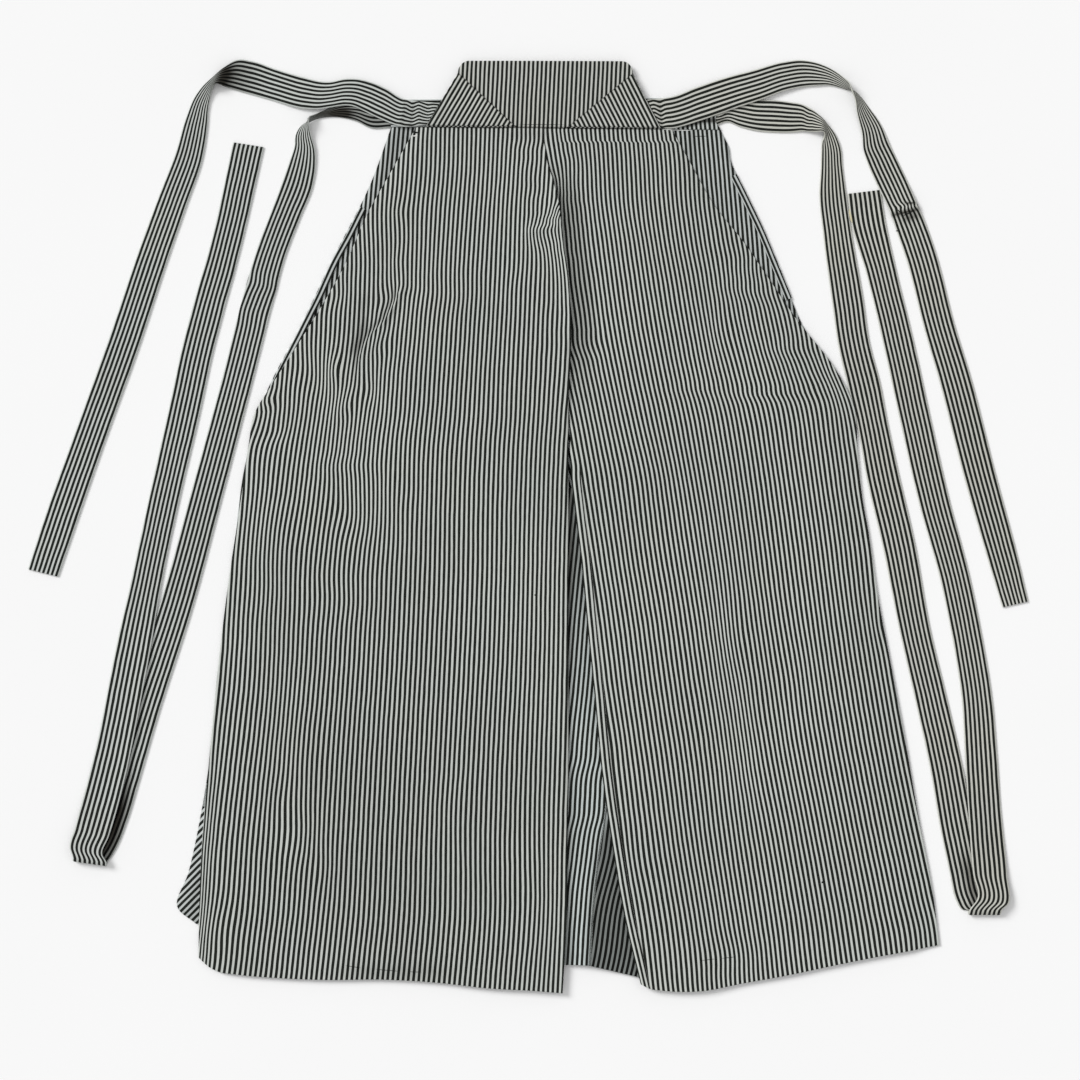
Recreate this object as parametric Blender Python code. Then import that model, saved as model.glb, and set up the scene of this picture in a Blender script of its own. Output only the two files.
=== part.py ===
"""Divided hakama trousers of striped cotton, laid flat on a surface with the back uppermost.

X runs across the garment, Y from hem to waist and Z up from the surface it lies on. The origin is
under the middle of its bounding box. Lengths in the tables are millimetres; meshes are in metres.
"""

import math
from collections import namedtuple

import bpy
import numpy as np

MM = 0.001

CLOTH = 1.0  # wall of one layer of cotton
TIE_CLOTH = 1.6  # a tie is a flattened tube of the same cotton
BAND_CLOTH = 2.2  # the front waistband is folded round its own turnings
BOARD = 3.6  # the stiff back board
GAP = 0.4  # air between two layers that lie on each other
SEAM = 0.3  # air between two pieces that are sewn edge to edge
LAYER = CLOTH + GAP

# Heights of the middle of each wall above the surface.
FRONT_Z = CLOTH / 2
PLEATED_TOP = FRONT_Z + 2 * LAYER + CLOTH / 2
UNDERLAY_Z = PLEATED_TOP + GAP + CLOTH / 2
BACK_Z = UNDERLAY_Z
OVER_UNDERLAY_Z = UNDERLAY_Z + LAYER
FACING_Z = FRONT_Z + LAYER
BOARD_BOTTOM = BAND_CLOTH + GAP
FLAP_BOTTOM = BOARD_BOTTOM + BOARD + GAP

WAIST_Y = 418.4  # the waist seam crosses X = 0 here
WAIST_SLOPE = -0.0085  # and runs down a little towards +X

# ---- Back panels: cross lines from the centre back fold out to the slit edge or the side seam.
BackRow = namedtuple("BackRow", "fold_x fold_y side_x side_y side_z fold_lift")

BACK_LEFT = [
    BackRow(16, 417.9, -118, 419.0, 2.6, 0.0),
    BackRow(26, 370, -145, 371, 2.6, 0.2),
    BackRow(31, 332, -166, 334, 2.6, 1.6),
    BackRow(41, 266, -195, 270, 2.8, 0.6),
    BackRow(45, 211, -227, 215, 3.4, 0.3),
    BackRow(43, 148, -269, 149, 3.4, 0.2),
    BackRow(42, 120, -287, 120, 3.0, 0.2),
    BackRow(42, 85, -294, 85, 1.9, 0.2),
    BackRow(42, 28, -302, 28, 1.9, 0.4),
    BackRow(42, -51, -314, -51, 1.9, 0.6),
    BackRow(42, -130, -324, -130, 1.9, 0.6),
    BackRow(42, -242, -335, -242, 1.9, 0.8),
    BackRow(41, -335, -343, -335, 1.9, 0.8),
    BackRow(40, -418, -347, -418, 1.9, 0.6),
    BackRow(36, -490, -341, -459, 1.9, 0.4),
]

BACK_RIGHT = [
    BackRow(12, 417.8, 151, 416.6, 2.6, -1.4),
    BackRow(18, 387, 170, 382, 2.6, -1.4),
    BackRow(26, 343, 197, 335, 2.6, -1.4),
    BackRow(30, 301, 226, 299, 2.8, -1.4),
    BackRow(36, 259, 252, 261, 3.4, -1.4),
    BackRow(38, 211, 282, 217, 3.4, -1.4),
    BackRow(38, 154, 322, 166, 3.0, -1.4),
    BackRow(43.5, 112, 345, 127, 1.9, -1.4),
    BackRow(44.5, 64, 348, 80, 1.9, 0.0),
    BackRow(49, 17, 353, 33, 1.9, 0.4),
    BackRow(55, -30, 358, -9, 1.9, 0.6),
    BackRow(62, -104, 368, -77, 1.9, 0.6),
    BackRow(69, -172, 380, -140, 1.9, 0.8),
    BackRow(77, -256, 395, -219, 1.9, 0.8),
    BackRow(89, -340, 409, -300, 1.9, 0.8),
    BackRow(104, -424, 425, -385, 1.9, 0.6),
    BackRow(118, -480.5, 432, -440, 1.9, 0.4),
]

# Shares of a cross line, and how far each hem sags there below its straight cross line.
HemShare = namedtuple("HemShare", "share left_sag right_sag")
HEM = [
    HemShare(0.0, 0.0, 0.0),
    HemShare(0.07, 0.0, 9.5),
    HemShare(0.2, 1.3, 15.6),
    HemShare(0.34, 0.0, 13.3),
    HemShare(0.5, 1.4, 10.8),
    HemShare(0.64, 6.2, 7.1),
    HemShare(0.78, 8.5, 3.9),
    HemShare(0.9, 8.4, 2.0),
    HemShare(1.0, 0.0, 0.0),
]

# Where along a cross line the panel stands over the pleat's underlay, and where it nears its side.
UNDERLAY_SHARE = 0.2
FLAT_SHARE = 0.34
SIDE_SHARE = 0.9

# Broad soft swells of the back panels, where air lies under the cloth.
Swell = namedtuple("Swell", "x y reach_x reach_y height")
SWELLS = [
    Swell(-70, 250, 90, 150, 1.6),
    Swell(-130, -40, 110, 190, 2.4),
    Swell(-235, -260, 90, 170, 2.0),
    Swell(-40, -330, 80, 150, 1.6),
    Swell(130, 270, 80, 140, 1.8),
    Swell(190, -60, 100, 200, 2.2),
    Swell(310, 10, 60, 150, 1.6),
    Swell(300, -290, 90, 150, 2.2),
]

# ---- The underlay of the centre back pleat: a wedge that shows between the two folds.
UnderlayRow = namedtuple("UnderlayRow", "left_x left_y crease_x crease_y right_x right_y proud")
UNDERLAY = [
    UnderlayRow(-8, 40, 44, 40, 88, 40, 0.0),
    UnderlayRow(-18, -30, 52, -30, 105, -30, 0.0),
    UnderlayRow(-20, -140, 62, -140, 122, -140, 0.0),
    UnderlayRow(-20, -250, 72, -250, 130, -250, 0.0),
    UnderlayRow(-20, -327, 74, -327, 136, -327, 0.6),
    UnderlayRow(-20, -400, 70, -400, 146, -400, 0.9),
    UnderlayRow(-20, -459, 67, -461, 158, -471, 0.9),
]

# ---- Front panels: cross lines from the centre front out to the side; they lie face down.
FrontRow = namedtuple("FrontRow", "centre_x centre_y side_x side_y")
FRONT_LEFT = [
    FrontRow(20, 417.9, -144, 419.3),
    FrontRow(21, 362, -165, 362),
    FrontRow(23, 280, -206, 280),
    FrontRow(25, 207, -241, 207),
    FrontRow(28, 139, -276, 139),
    FrontRow(30, 85, -293, 85),
    FrontRow(40, -51, -312, -51),
    FrontRow(52, -170, -326, -170),
    FrontRow(64, -285, -341, -285),
    FrontRow(71, -363, -357, -363),
    FrontRow(75, -415, -369, -400),
    FrontRow(79, -455, -349, -418),
]
FRONT_RIGHT = [
    FrontRow(20.3, 417.9, 197, 416.3),
    FrontRow(21.3, 362, 223, 362),
    FrontRow(23.3, 280, 261, 280),
    FrontRow(25.3, 207, 288, 212),
    FrontRow(28.3, 139, 320, 163),
    FrontRow(31.3, 85, 344, 110),
    FrontRow(40.3, -51, 360, -30),
    FrontRow(52.3, -170, 379, -150),
    FrontRow(64.3, -285, 401, -265),
    FrontRow(71.3, -363, 414, -343),
    FrontRow(79.3, -455, 426, -424),
]

# Knife pleats of the front, by their folded edge's distance from the centre front and their depth.
Pleat = namedtuple("Pleat", "waist hem waist_depth hem_depth")
PLEATS_LEFT = [Pleat(30, 110, 22, 60), Pleat(62, 215, 22, 60)]
PLEATS_RIGHT = [Pleat(28, 82, 20, 50), Pleat(58, 160, 20, 50), Pleat(88, 235, 20, 50)]
PLEAT_EASE = 3.0  # beyond the folded edge the cloth runs on level for this far
PLEAT_FALL = 13.0  # and then comes down to the surface over this length

# ---- Slit facings: a narrow turned strip along the open side edge of each front.
FACING_WIDTH = 7.0
FacingRow = namedtuple("FacingRow", "edge_x edge_y inward")
FACING_LEFT = [
    FacingRow(-176.6, 336, -26),
    FacingRow(-190.2, 309, -26),
    FacingRow(-206.0, 280, -25),
    FacingRow(-222.0, 245, -25),
    FacingRow(-241.0, 207, -27),
    FacingRow(-262.0, 166, -27),
    FacingRow(-270.0, 150, -27),
]
FACING_RIGHT = [
    FacingRow(219.0, 370, -154),
    FacingRow(233.0, 342, -154),
    FacingRow(246.4, 314, -154),
    FacingRow(260.6, 280, -156),
    FacingRow(277.0, 240, -158),
]

# ---- Waistband of the front, and the stiff board at the back with its two wrapped flaps.
BAND_LEFT = -144.2
BAND_RIGHT = 197.1
BAND_TOP_LEFT = 448.5
BAND_TOP_RIGHT = 450.5
BAND_COLUMNS = 7

BOARD_BASE_LEFT = -107.4
BOARD_BASE_RIGHT = 139.3
BOARD_SHOULDER_LEFT = (-73.8, 476.0)
BOARD_SHOULDER_RIGHT = (109.9, 475.4)
BOARD_TOP_LEFT = (-62.0, 488.6)
BOARD_TOP_RIGHT = (98.6, 488.6)
BOARD_CORNER_STEPS = 4
BOARD_EDGE_ROUND = 0.8
FLAP_FOOT_LEFT = -13.4
FLAP_FOOT_RIGHT = 41.7
FLAP_INSET = 0.6

# ---- Ties. Each row is one section across the tie: its middle, the direction from edge a to edge b,
# its width as laid, and how far each edge is lifted off the surface.
Section = namedtuple("Section", "x y across wide lift_a lift_b")
LOOP_RADIUS = 3.0
LOOP_STEPS = (45.0, 90.0, 135.0)

TIE_BACK_LEFT = [
    Section(-99.9, 433, -120.6, 26, 3.6, 3.6),
    Section(-116, 433, -105, 27, 3.6, 3.6),
    Section(-131, 434, -95, 29, 3.4, 3.4),
    Section(-155, 445, -100, 32, 2.8, 2.8),
    Section(-182, 453, -97, 32, 2.4, 2.4),
    Section(-208, 454, -92, 30, 2.4, 2.4),
    Section(-233, 456, -94, 32, 1.8, 2.2),
    Section(-267, 464, -97, 33, 0.4, 0.4),
    Section(-293, 472, -100, 34, 0.4, 0.4),
    Section(-311, 475, -106, 30, 3.0, 1.6),
    Section(-324, 472, -113, 18, 6.0, 8.0),
    Section(-331, 466, -95, 14, 1.6, 4.0),
    Section(-337, 458, -66, 15, 0.8, 1.6),
    Section(-343, 446, -42, 19, 0.4, 0.6),
    Section(-348, 427, -22, 24, 0.0, 0.2),
    Section(-356, 391, -17, 29, 0.0, 0.0),
    Section(-373, 344, -17, 31, 0.0, 0.0),
    Section(-390, 297, -18, 32, 0.0, 0.0),
    Section(-426, 190, -19, 33, 0.0, 0.0),
    Section(-461, 93, -19, 33, 0.0, 0.0),
    Section(-490, 11, -18, 34, 0.0, 0.0),
    Section(-510, -49, -14, 33, 0.0, 0.0),
]

TIE_BACK_RIGHT = [
    Section(131.9, 433, -63.4, 33, 3.6, 3.6),
    Section(149, 434, -84, 33, 3.6, 3.6),
    Section(180, 444, -80, 35, 3.0, 3.0),
    Section(212, 455, -77, 34, 2.6, 2.6),
    Section(242, 464, -77, 32, 2.6, 2.6),
    Section(270, 473, -80, 30, 1.4, 2.0),
    Section(291, 476, -83, 28, 0.4, 0.8),
    Section(304, 475, -90, 24, 0.8, 0.8),
    Section(317, 472, -98, 17, 3.0, 0.6),
    Section(329, 466, -108, 10, 7.0, 0.4),
    Section(338, 459, -118, 4, 12.0, 0.0),
    Section(345, 451, 22, 6, 9.0, 0.0),
    Section(351, 438, 28, 14, 4.0, 0.0),
    Section(360, 419, 24, 22, 1.4, 0.0),
    Section(370, 394, 18, 28, 0.0, 0.0),
    Section(382, 362, 16, 31, 0.0, 0.0),
    Section(393, 337, 14, 30, 2.0, 2.0),
    Section(403, 313, 12, 32, 0.0, 0.0),
    Section(412, 287, 13, 32, 0.0, 0.0),
    Section(433, 207, 13, 32, 0.0, 0.0),
    Section(448, 157, 12, 33, 0.0, 0.0),
    Section(474, 56, 11, 33, 0.0, 0.0),
    Section(499, -34, 13, 31, 0.0, 0.0),
    Section(512, -82, 13, 28, 0.0, 0.0),
]

# The front ties run out, turn back on themselves in a soft loop, and lie beside their own start.
TIE_FRONT_LEFT_OUT = [
    Section(-144.5, 434, -90, 30, 0.0, 0.0),
    Section(-165, 434, -92, 31, 0.0, 0.0),
    Section(-181, 438, -91, 24, 0.0, 0.0),
    Section(-198, 438, -90, 16, 0.0, 0.0),
    Section(-213, 434, -90, 8, 0.2, 0.0),
    Section(-224, 430, -92, 5, 3.0, 0.0),
    Section(-231, 426, -110, 4, 9.0, 0.0),
    Section(-234, 420, 166, 9, 6.0, 0.0),
    Section(-236, 411, 169, 17, 3.0, 0.0),
    Section(-235, 398, 171, 22, 1.6, 0.0),
    Section(-237, 382, 168, 28, 0.6, 0.0),
    Section(-242, 361, 164, 32, 0.0, 0.0),
    Section(-254, 330, 162, 31, 0.0, 0.0),
    Section(-270, 288, 161, 31, 0.0, 0.0),
    Section(-281, 250, 163, 32, 0.0, 0.0),
    Section(-305, 157, 165, 32, 0.0, 0.0),
    Section(-336, 41, 165, 33, 0.0, 0.0),
    Section(-370, -84, 165, 34, 0.0, 0.0),
    Section(-405, -192, 163, 35, 0.0, 0.0),
    Section(-426, -264, 163, 35, 0.0, 0.0),
    Section(-438, -304, 163, 35, 0.0, 0.0),
    Section(-450, -335, 165, 35, 0.0, 0.0),
    Section(-461, -350, 171, 34, 0.0, 0.0),
]
TIE_FRONT_LEFT_BACK = [
    Section(-461, -350, 171, 34, 6.0, 6.0),
    Section(-464, -341, 168, 35, 6.0, 5.6),
    Section(-458, -321, 166, 37, 5.6, 3.8),
    Section(-444, -270, 163, 38, 4.8, 1.0),
    Section(-433, -222, 164, 37, 4.2, 0.4),
    Section(-423, -170, 165, 37, 3.6, 0.0),
    Section(-413, -118, 166, 36, 2.6, 0.0),
    Section(-405, -77, 169, 33, 0.8, 0.0),
    Section(-382, 32, 169, 32, 0.0, 0.0),
    Section(-362, 119, 166, 33, 0.0, 0.0),
    Section(-346, 192, 167, 33, 0.0, 0.0),
    Section(-334, 237, 167, 33, 0.0, 0.0),
    Section(-319, 291, 168, 32, 0.0, 0.0),
    Section(-294, 401, 171, 33, 0.0, 0.0),
]

TIE_FRONT_RIGHT_OUT = [
    Section(197.4, 435, -90, 28, 0.0, 0.0),
    Section(208, 437, -89, 24, 0.0, 0.0),
    Section(222, 435, -90, 30, 0.0, 0.0),
    Section(240, 432, -90, 33, 0.0, 0.0),
    Section(259, 431, -90, 34, 0.0, 0.0),
    Section(275, 430, -89, 32, 0.4, 0.4),
    Section(289, 429, -88, 28, 2.0, 1.0),
    Section(301, 425, -87, 22, 4.0, 4.0),
    Section(309, 421, -86, 15, 5.0, 8.0),
    Section(312.5, 417, -100, 13, 1.6, 3.0),
    Section(315, 409, -130, 13, 0.8, 1.0),
    Section(318, 397, -158, 18, 0.4, 0.4),
    Section(319, 378, -172, 23, 0.0, 0.0),
    Section(320, 351, -176, 28, 0.0, 0.0),
    Section(325, 308, -174, 30, 0.0, 0.0),
    Section(336, 236, -173, 33, 0.0, 0.0),
    Section(342, 194, -173, 33, 0.0, 0.0),
    Section(358, 146, -171, 29, 0.0, 0.0),
    Section(366, 104, -168, 29, 0.0, 0.0),
    Section(371, 56, -167, 31, 0.0, 0.0),
    Section(389, -19, -167, 33, 0.0, 0.0),
    Section(407, -111, -169, 32, 0.0, 0.0),
    Section(424, -184, -169, 33, 0.0, 0.0),
    Section(440, -256, -167, 34, 0.0, 0.0),
    Section(449, -307, -167, 35, 0.0, 0.0),
    Section(460, -360, -166, 35, 0.0, 0.0),
    Section(470, -392, -168, 34, 0.0, 0.0),
    Section(479, -404, 180, 32, 0.0, 0.0),
]
TIE_FRONT_RIGHT_BACK = [
    Section(479, -404, 180, 32, 6.0, 6.0),
    Section(485, -392, 175, 33, 5.6, 6.0),
    Section(485, -366, 178, 36, 2.4, 5.4),
    Section(480, -304, -177, 35, 0.0, 3.2),
    Section(476, -241, -174, 34, 0.0, 0.6),
    Section(472, -184, -172, 32, 0.0, 0.0),
    Section(461, -114, -171, 31, 0.0, 0.0),
    Section(449, -56, -171, 31, 0.0, 0.0),
    Section(426, 29, -171, 32, 0.0, 0.0),
    Section(409, 103, -172, 32, 0.0, 0.0),
    Section(389, 194, -174, 32, 0.0, 0.0),
    Section(370, 272, -175, 32, 0.0, 0.0),
    Section(358, 320, -174, 35, 0.0, 0.0),
    Section(351, 352, -173, 32, 0.0, 0.0),
]

# ---- Finishes: base colour and roughness of each piece's cotton.
FINISHES = {
    "body": ((0.30, 0.33, 0.31), 0.85),
    "shaded": ((0.22, 0.25, 0.23), 0.85),
    "board": ((0.27, 0.30, 0.28), 0.8),
    "tie": ((0.34, 0.36, 0.32), 0.82),
}


def clear_scene():
    """Removes whatever the scene holds."""
    for thing in list(bpy.data.objects):
        bpy.data.objects.remove(thing, do_unlink=True)


def cotton(piece, finish):
    """One Principled material for one piece."""
    colour, roughness = FINISHES[finish]
    material = bpy.data.materials.new("cotton_" + piece)
    material.use_nodes = True
    shader = material.node_tree.nodes["Principled BSDF"]
    shader.inputs["Base Color"].default_value = (*colour, 1.0)
    shader.inputs["Roughness"].default_value = roughness
    shader.inputs["Metallic"].default_value = 0.0
    return material


def add_mesh(name, points, faces, finish):
    """A named object from points in millimetres."""
    mesh = bpy.data.meshes.new(name)
    mesh.from_pydata([tuple(float(value) * MM for value in point) for point in points], [], faces)
    mesh.validate()
    mesh.update()
    piece = bpy.data.objects.new(name, mesh)
    piece.data.materials.append(cotton(name, finish))
    bpy.context.scene.collection.objects.link(piece)
    return piece


def wall(name, upper, lower, finish):
    """A closed sheet of cloth between two grids of points with the same rows and columns."""
    upper = np.asarray(upper, float)
    lower = np.asarray(lower, float)
    rows, columns = upper.shape[:2]
    half = rows * columns

    def at(row, column, side):
        return side * half + row * columns + column

    faces = []
    for row in range(rows - 1):
        for column in range(columns - 1):
            ring = [(row, column), (row + 1, column), (row + 1, column + 1), (row, column + 1)]
            faces.append([at(r, c, 0) for r, c in ring])
            faces.append([at(r, c, 1) for r, c in reversed(ring)])
    rim = [(0, column) for column in range(columns - 1)]
    rim += [(row, columns - 1) for row in range(rows - 1)]
    rim += [(rows - 1, column) for column in range(columns - 1, 0, -1)]
    rim += [(row, 0) for row in range(rows - 1, 0, -1)]
    for here, after in zip(rim, rim[1:] + rim[:1]):
        faces.append([at(*here, 0), at(*after, 0), at(*after, 1), at(*here, 1)])

    points = np.concatenate([upper.reshape(-1, 3), lower.reshape(-1, 3)])
    volume = sum(
        np.dot(points[f[0]], np.cross(points[f[k]], points[f[k + 1]]))
        for f in faces
        for k in range(1, len(f) - 1)
    )
    if volume < 0:
        faces = [face[::-1] for face in faces]
    piece = add_mesh(name, points, faces, finish)
    piece.data.shade_smooth()
    piece.data.set_sharp_from_angle(angle=math.radians(40))
    return piece


def level_wall(name, middle, thickness, finish):
    """A wall whose thickness is measured straight up."""
    middle = np.asarray(middle, float)
    half = np.array([0.0, 0.0, thickness / 2])
    return wall(name, middle + half, middle - half, finish)


def waist_line(x):
    """Y of the waist seam."""
    return WAIST_Y + WAIST_SLOPE * x


def swell_height(x, y):
    """How far the soft swells lift the back panels at one place."""
    height = 0.0
    for swell in SWELLS:
        away = ((x - swell.x) / swell.reach_x) ** 2 + ((y - swell.y) / swell.reach_y) ** 2
        if away < 1:
            height += swell.height * (1 - away) ** 2
    return height


def back_panel(name, rows, sags):
    """One back panel: it stands over the underlay at its fold and comes down at its side."""
    grid = []
    for index, row in enumerate(rows):
        shares = (0.0, UNDERLAY_SHARE, FLAT_SHARE, SIDE_SHARE, 1.0)
        near_fold = OVER_UNDERLAY_Z if row.fold_lift >= 0 else BACK_Z
        heights = (OVER_UNDERLAY_Z + row.fold_lift, near_fold, BACK_Z, BACK_Z, row.side_z)
        at_hem = index == len(rows) - 1
        line = []
        for place, sag in zip(HEM, sags):
            share = place.share
            x = row.fold_x + share * (row.side_x - row.fold_x)
            y = row.fold_y + share * (row.side_y - row.fold_y)
            inner = 4 * share * (1 - share)
            z = np.interp(share, shares, heights) + inner * swell_height(x, y)
            line.append((x, y - sag * at_hem, z))
        grid.append(line)
    return level_wall(name, grid, CLOTH, "body")


def underlay():
    """The cloth inside the centre back pleat, with one pressed crease."""
    grid = []
    for row in UNDERLAY:
        left = np.array([row.left_x, row.left_y, UNDERLAY_Z])
        crease = np.array([row.crease_x, row.crease_y, UNDERLAY_Z])
        right = np.array([row.right_x, row.right_y, UNDERLAY_Z])
        beside = crease + (left - crease) * 0.12
        proud = crease + np.array([0.0, 0.0, row.proud])
        grid.append([left, (left + crease) / 2, beside, proud, crease + (right - crease) * 0.2, right])
    return level_wall("centre_pleat", grid, CLOTH, "shaded")


def pleated_line(length, down, pleats):
    """(distance, height) of the middle of the cloth along one cross line of a front."""
    turn = LAYER / 2
    levels = [FRONT_Z, FRONT_Z + LAYER, FRONT_Z + 2 * LAYER]
    line = [(0.0, levels[0])]
    for pleat in pleats:
        edge = pleat.waist + down * (pleat.hem - pleat.waist)
        depth = pleat.waist_depth + down * (pleat.hem_depth - pleat.waist_depth)
        inner = edge - depth
        line += [
            (edge - turn, levels[0]),
            (edge, levels[0] + turn),
            (edge - turn, levels[1]),
            (inner + turn, levels[1]),
            (inner, levels[1] + turn),
            (inner + turn, levels[2]),
            (edge + PLEAT_EASE, levels[2]),
            (edge + PLEAT_EASE + PLEAT_FALL, levels[0]),
        ]
    line.append((length, levels[0]))
    return np.array(line)


def offset_line(line, distance):
    """The line moved sideways by a distance, with mitred corners."""
    steps = np.diff(line, axis=0)
    steps /= np.linalg.norm(steps, axis=1)[:, None]
    normals = np.stack([-steps[:, 1], steps[:, 0]], axis=1)
    before = np.concatenate([normals[:1], normals])
    after = np.concatenate([normals, normals[-1:]])
    middle = before + after
    return line + distance * 2 * middle / (middle * middle).sum(axis=1)[:, None]


def front_panel(name, rows, pleats):
    """One front panel, face down, with its knife pleats folded up behind it."""
    upper, lower = [], []
    top, bottom = rows[0].centre_y, rows[-1].centre_y
    for row in rows:
        start = np.array([row.centre_x, row.centre_y])
        reach = np.array([row.side_x, row.side_y]) - start
        length = np.linalg.norm(reach)
        line = pleated_line(length, (top - row.centre_y) / (top - bottom), pleats)
        for grid, distance in ((upper, CLOTH / 2), (lower, -CLOTH / 2)):
            moved = offset_line(line, distance)
            grid.append([(*(start + reach / length * s), z) for s, z in moved])
    return wall(name, upper, lower, "body")


def slit_facing(name, rows):
    """The turned strip on the inside of a front's open edge."""
    grid = []
    for row in rows:
        angle = math.radians(row.inward)
        inner_x = row.edge_x + FACING_WIDTH * math.cos(angle)
        inner_y = row.edge_y + FACING_WIDTH * math.sin(angle)
        grid.append([(row.edge_x, row.edge_y, FACING_Z), (inner_x, inner_y, FACING_Z)])
    return level_wall(name, grid, CLOTH, "shaded")


def front_waistband():
    """The band that gathers the top of both fronts and runs on into the front ties."""
    grid = []
    for share in np.linspace(0, 1, BAND_COLUMNS):
        x = BAND_LEFT + share * (BAND_RIGHT - BAND_LEFT)
        top = BAND_TOP_LEFT + share * (BAND_TOP_RIGHT - BAND_TOP_LEFT)
        grid.append([(x, waist_line(x), BAND_CLOTH / 2), (x, top, BAND_CLOTH / 2)])
    return level_wall("front_waistband", grid, BAND_CLOTH, "shaded")


def prism(name, outline, bottom, height, finish, round_edge=0.0):
    """A flat plate with the given outline."""
    count = len(outline)
    points = [(x, y, z) for z in (bottom, bottom + height) for x, y in outline]
    faces = [list(range(count))[::-1], list(range(count, 2 * count))]
    for here in range(count):
        after = (here + 1) % count
        faces.append([here, after, count + after, count + here])
    piece = add_mesh(name, points, faces, finish)
    if round_edge:
        bevel = piece.modifiers.new("edge", "BEVEL")
        bevel.width = round_edge * MM
        bevel.segments = 2
        bevel.limit_method = "ANGLE"
    return piece


def board_corner(shoulder, top):
    """Points of a quarter-round corner between the slanted side and the top edge."""
    points = []
    for step in range(BOARD_CORNER_STEPS + 1):
        angle = math.pi / 2 * step / BOARD_CORNER_STEPS
        x = top[0] + (shoulder[0] - top[0]) * math.cos(angle)
        y = shoulder[1] + (top[1] - shoulder[1]) * math.sin(angle)
        points.append((x, y))
    return points


def back_board():
    """The stiff board and the two flaps of its cover that wrap round from the sides."""
    base_left = (BOARD_BASE_LEFT, waist_line(BOARD_BASE_LEFT) + SEAM)
    base_right = (BOARD_BASE_RIGHT, waist_line(BOARD_BASE_RIGHT) + SEAM)
    outline = [base_left, base_right]
    outline += board_corner(BOARD_SHOULDER_RIGHT, BOARD_TOP_RIGHT)
    outline += board_corner(BOARD_SHOULDER_LEFT, BOARD_TOP_LEFT)[::-1]
    prism("koshiita", outline, BOARD_BOTTOM, BOARD, "board", BOARD_EDGE_ROUND)

    inset = FLAP_INSET
    foot_left = waist_line(FLAP_FOOT_LEFT) + SEAM + inset
    foot_right = waist_line(FLAP_FOOT_RIGHT) + SEAM + inset
    left = [
        (base_left[0] + inset, base_left[1] + inset),
        (FLAP_FOOT_LEFT, foot_left),
        (BOARD_SHOULDER_LEFT[0] + inset, BOARD_SHOULDER_LEFT[1] - inset),
    ]
    right = [
        (FLAP_FOOT_RIGHT, foot_right),
        (base_right[0] - inset, base_right[1] + inset),
        (BOARD_SHOULDER_RIGHT[0] - inset, BOARD_SHOULDER_RIGHT[1] - inset),
    ]
    prism("koshiita_flap_left", left, FLAP_BOTTOM, CLOTH, "board")
    prism("koshiita_flap_right", right, FLAP_BOTTOM, CLOTH, "board")


def tie_section(section):
    """Edge a, middle and edge b of one section, at the middle of the tie's wall."""
    angle = math.radians(section.across)
    half = np.array([math.cos(angle), math.sin(angle), 0.0]) * section.wide / 2
    middle = np.array([section.x, section.y, TIE_CLOTH / 2])
    edge_a = middle - half + np.array([0.0, 0.0, section.lift_a])
    edge_b = middle + half + np.array([0.0, 0.0, section.lift_b])
    return np.array([edge_a, (edge_a + edge_b) / 2, edge_b])


def loop_sections(last, before):
    """Half a turn up and over, at the far end of a front tie."""
    ahead = last[1] - before[1]
    along = last[2] - last[0]
    ahead -= along * np.dot(ahead, along) / np.dot(along, along)
    ahead /= np.linalg.norm(ahead)
    sections = []
    for degrees in LOOP_STEPS:
        angle = math.radians(degrees)
        rise = np.array([0.0, 0.0, LOOP_RADIUS * (1 - math.cos(angle))])
        sections.append(last + ahead * LOOP_RADIUS * math.sin(angle) + rise)
    return sections


def tie(name, out, back=()):
    """A tie through its sections, with a loop where it turns back."""
    middle = [tie_section(section) for section in out]
    if back:
        middle += loop_sections(middle[-1], middle[-2])
        middle += [tie_section(section) for section in back]
    middle = np.array(middle)
    along = np.gradient(middle, axis=0)
    across = (middle[:, 2] - middle[:, 0])[:, None, :]
    normal = np.cross(along, np.broadcast_to(across, along.shape))
    normal /= np.linalg.norm(normal, axis=2)[:, :, None]
    offset = normal * TIE_CLOTH / 2
    return wall(name, middle + offset, middle - offset, "tie")


def build():
    """Every piece of the garment, from the surface up."""
    clear_scene()
    front_panel("front_left", FRONT_LEFT, PLEATS_LEFT)
    front_panel("front_right", FRONT_RIGHT, PLEATS_RIGHT)
    slit_facing("slit_facing_left", FACING_LEFT)
    slit_facing("slit_facing_right", FACING_RIGHT)
    underlay()
    back_panel("back_left", BACK_LEFT, [place.left_sag for place in HEM])
    back_panel("back_right", BACK_RIGHT, [place.right_sag for place in HEM])
    front_waistband()
    back_board()
    tie("tie_front_left", TIE_FRONT_LEFT_OUT, TIE_FRONT_LEFT_BACK)
    tie("tie_front_right", TIE_FRONT_RIGHT_OUT, TIE_FRONT_RIGHT_BACK)
    tie("tie_back_left", TIE_BACK_LEFT)
    tie("tie_back_right", TIE_BACK_RIGHT)


build()
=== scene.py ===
"""Looks of the divided hakama trousers, laid flat with the back uppermost.

The tables are in millimetres, with X across the garment, Y from hem to waist and Z up from the
surface it lies on. Meshes are in metres. Stripes are counted, one light and one dark band to a count,
with the light band's middle at each whole number.
"""

import math
from collections import namedtuple

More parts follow.
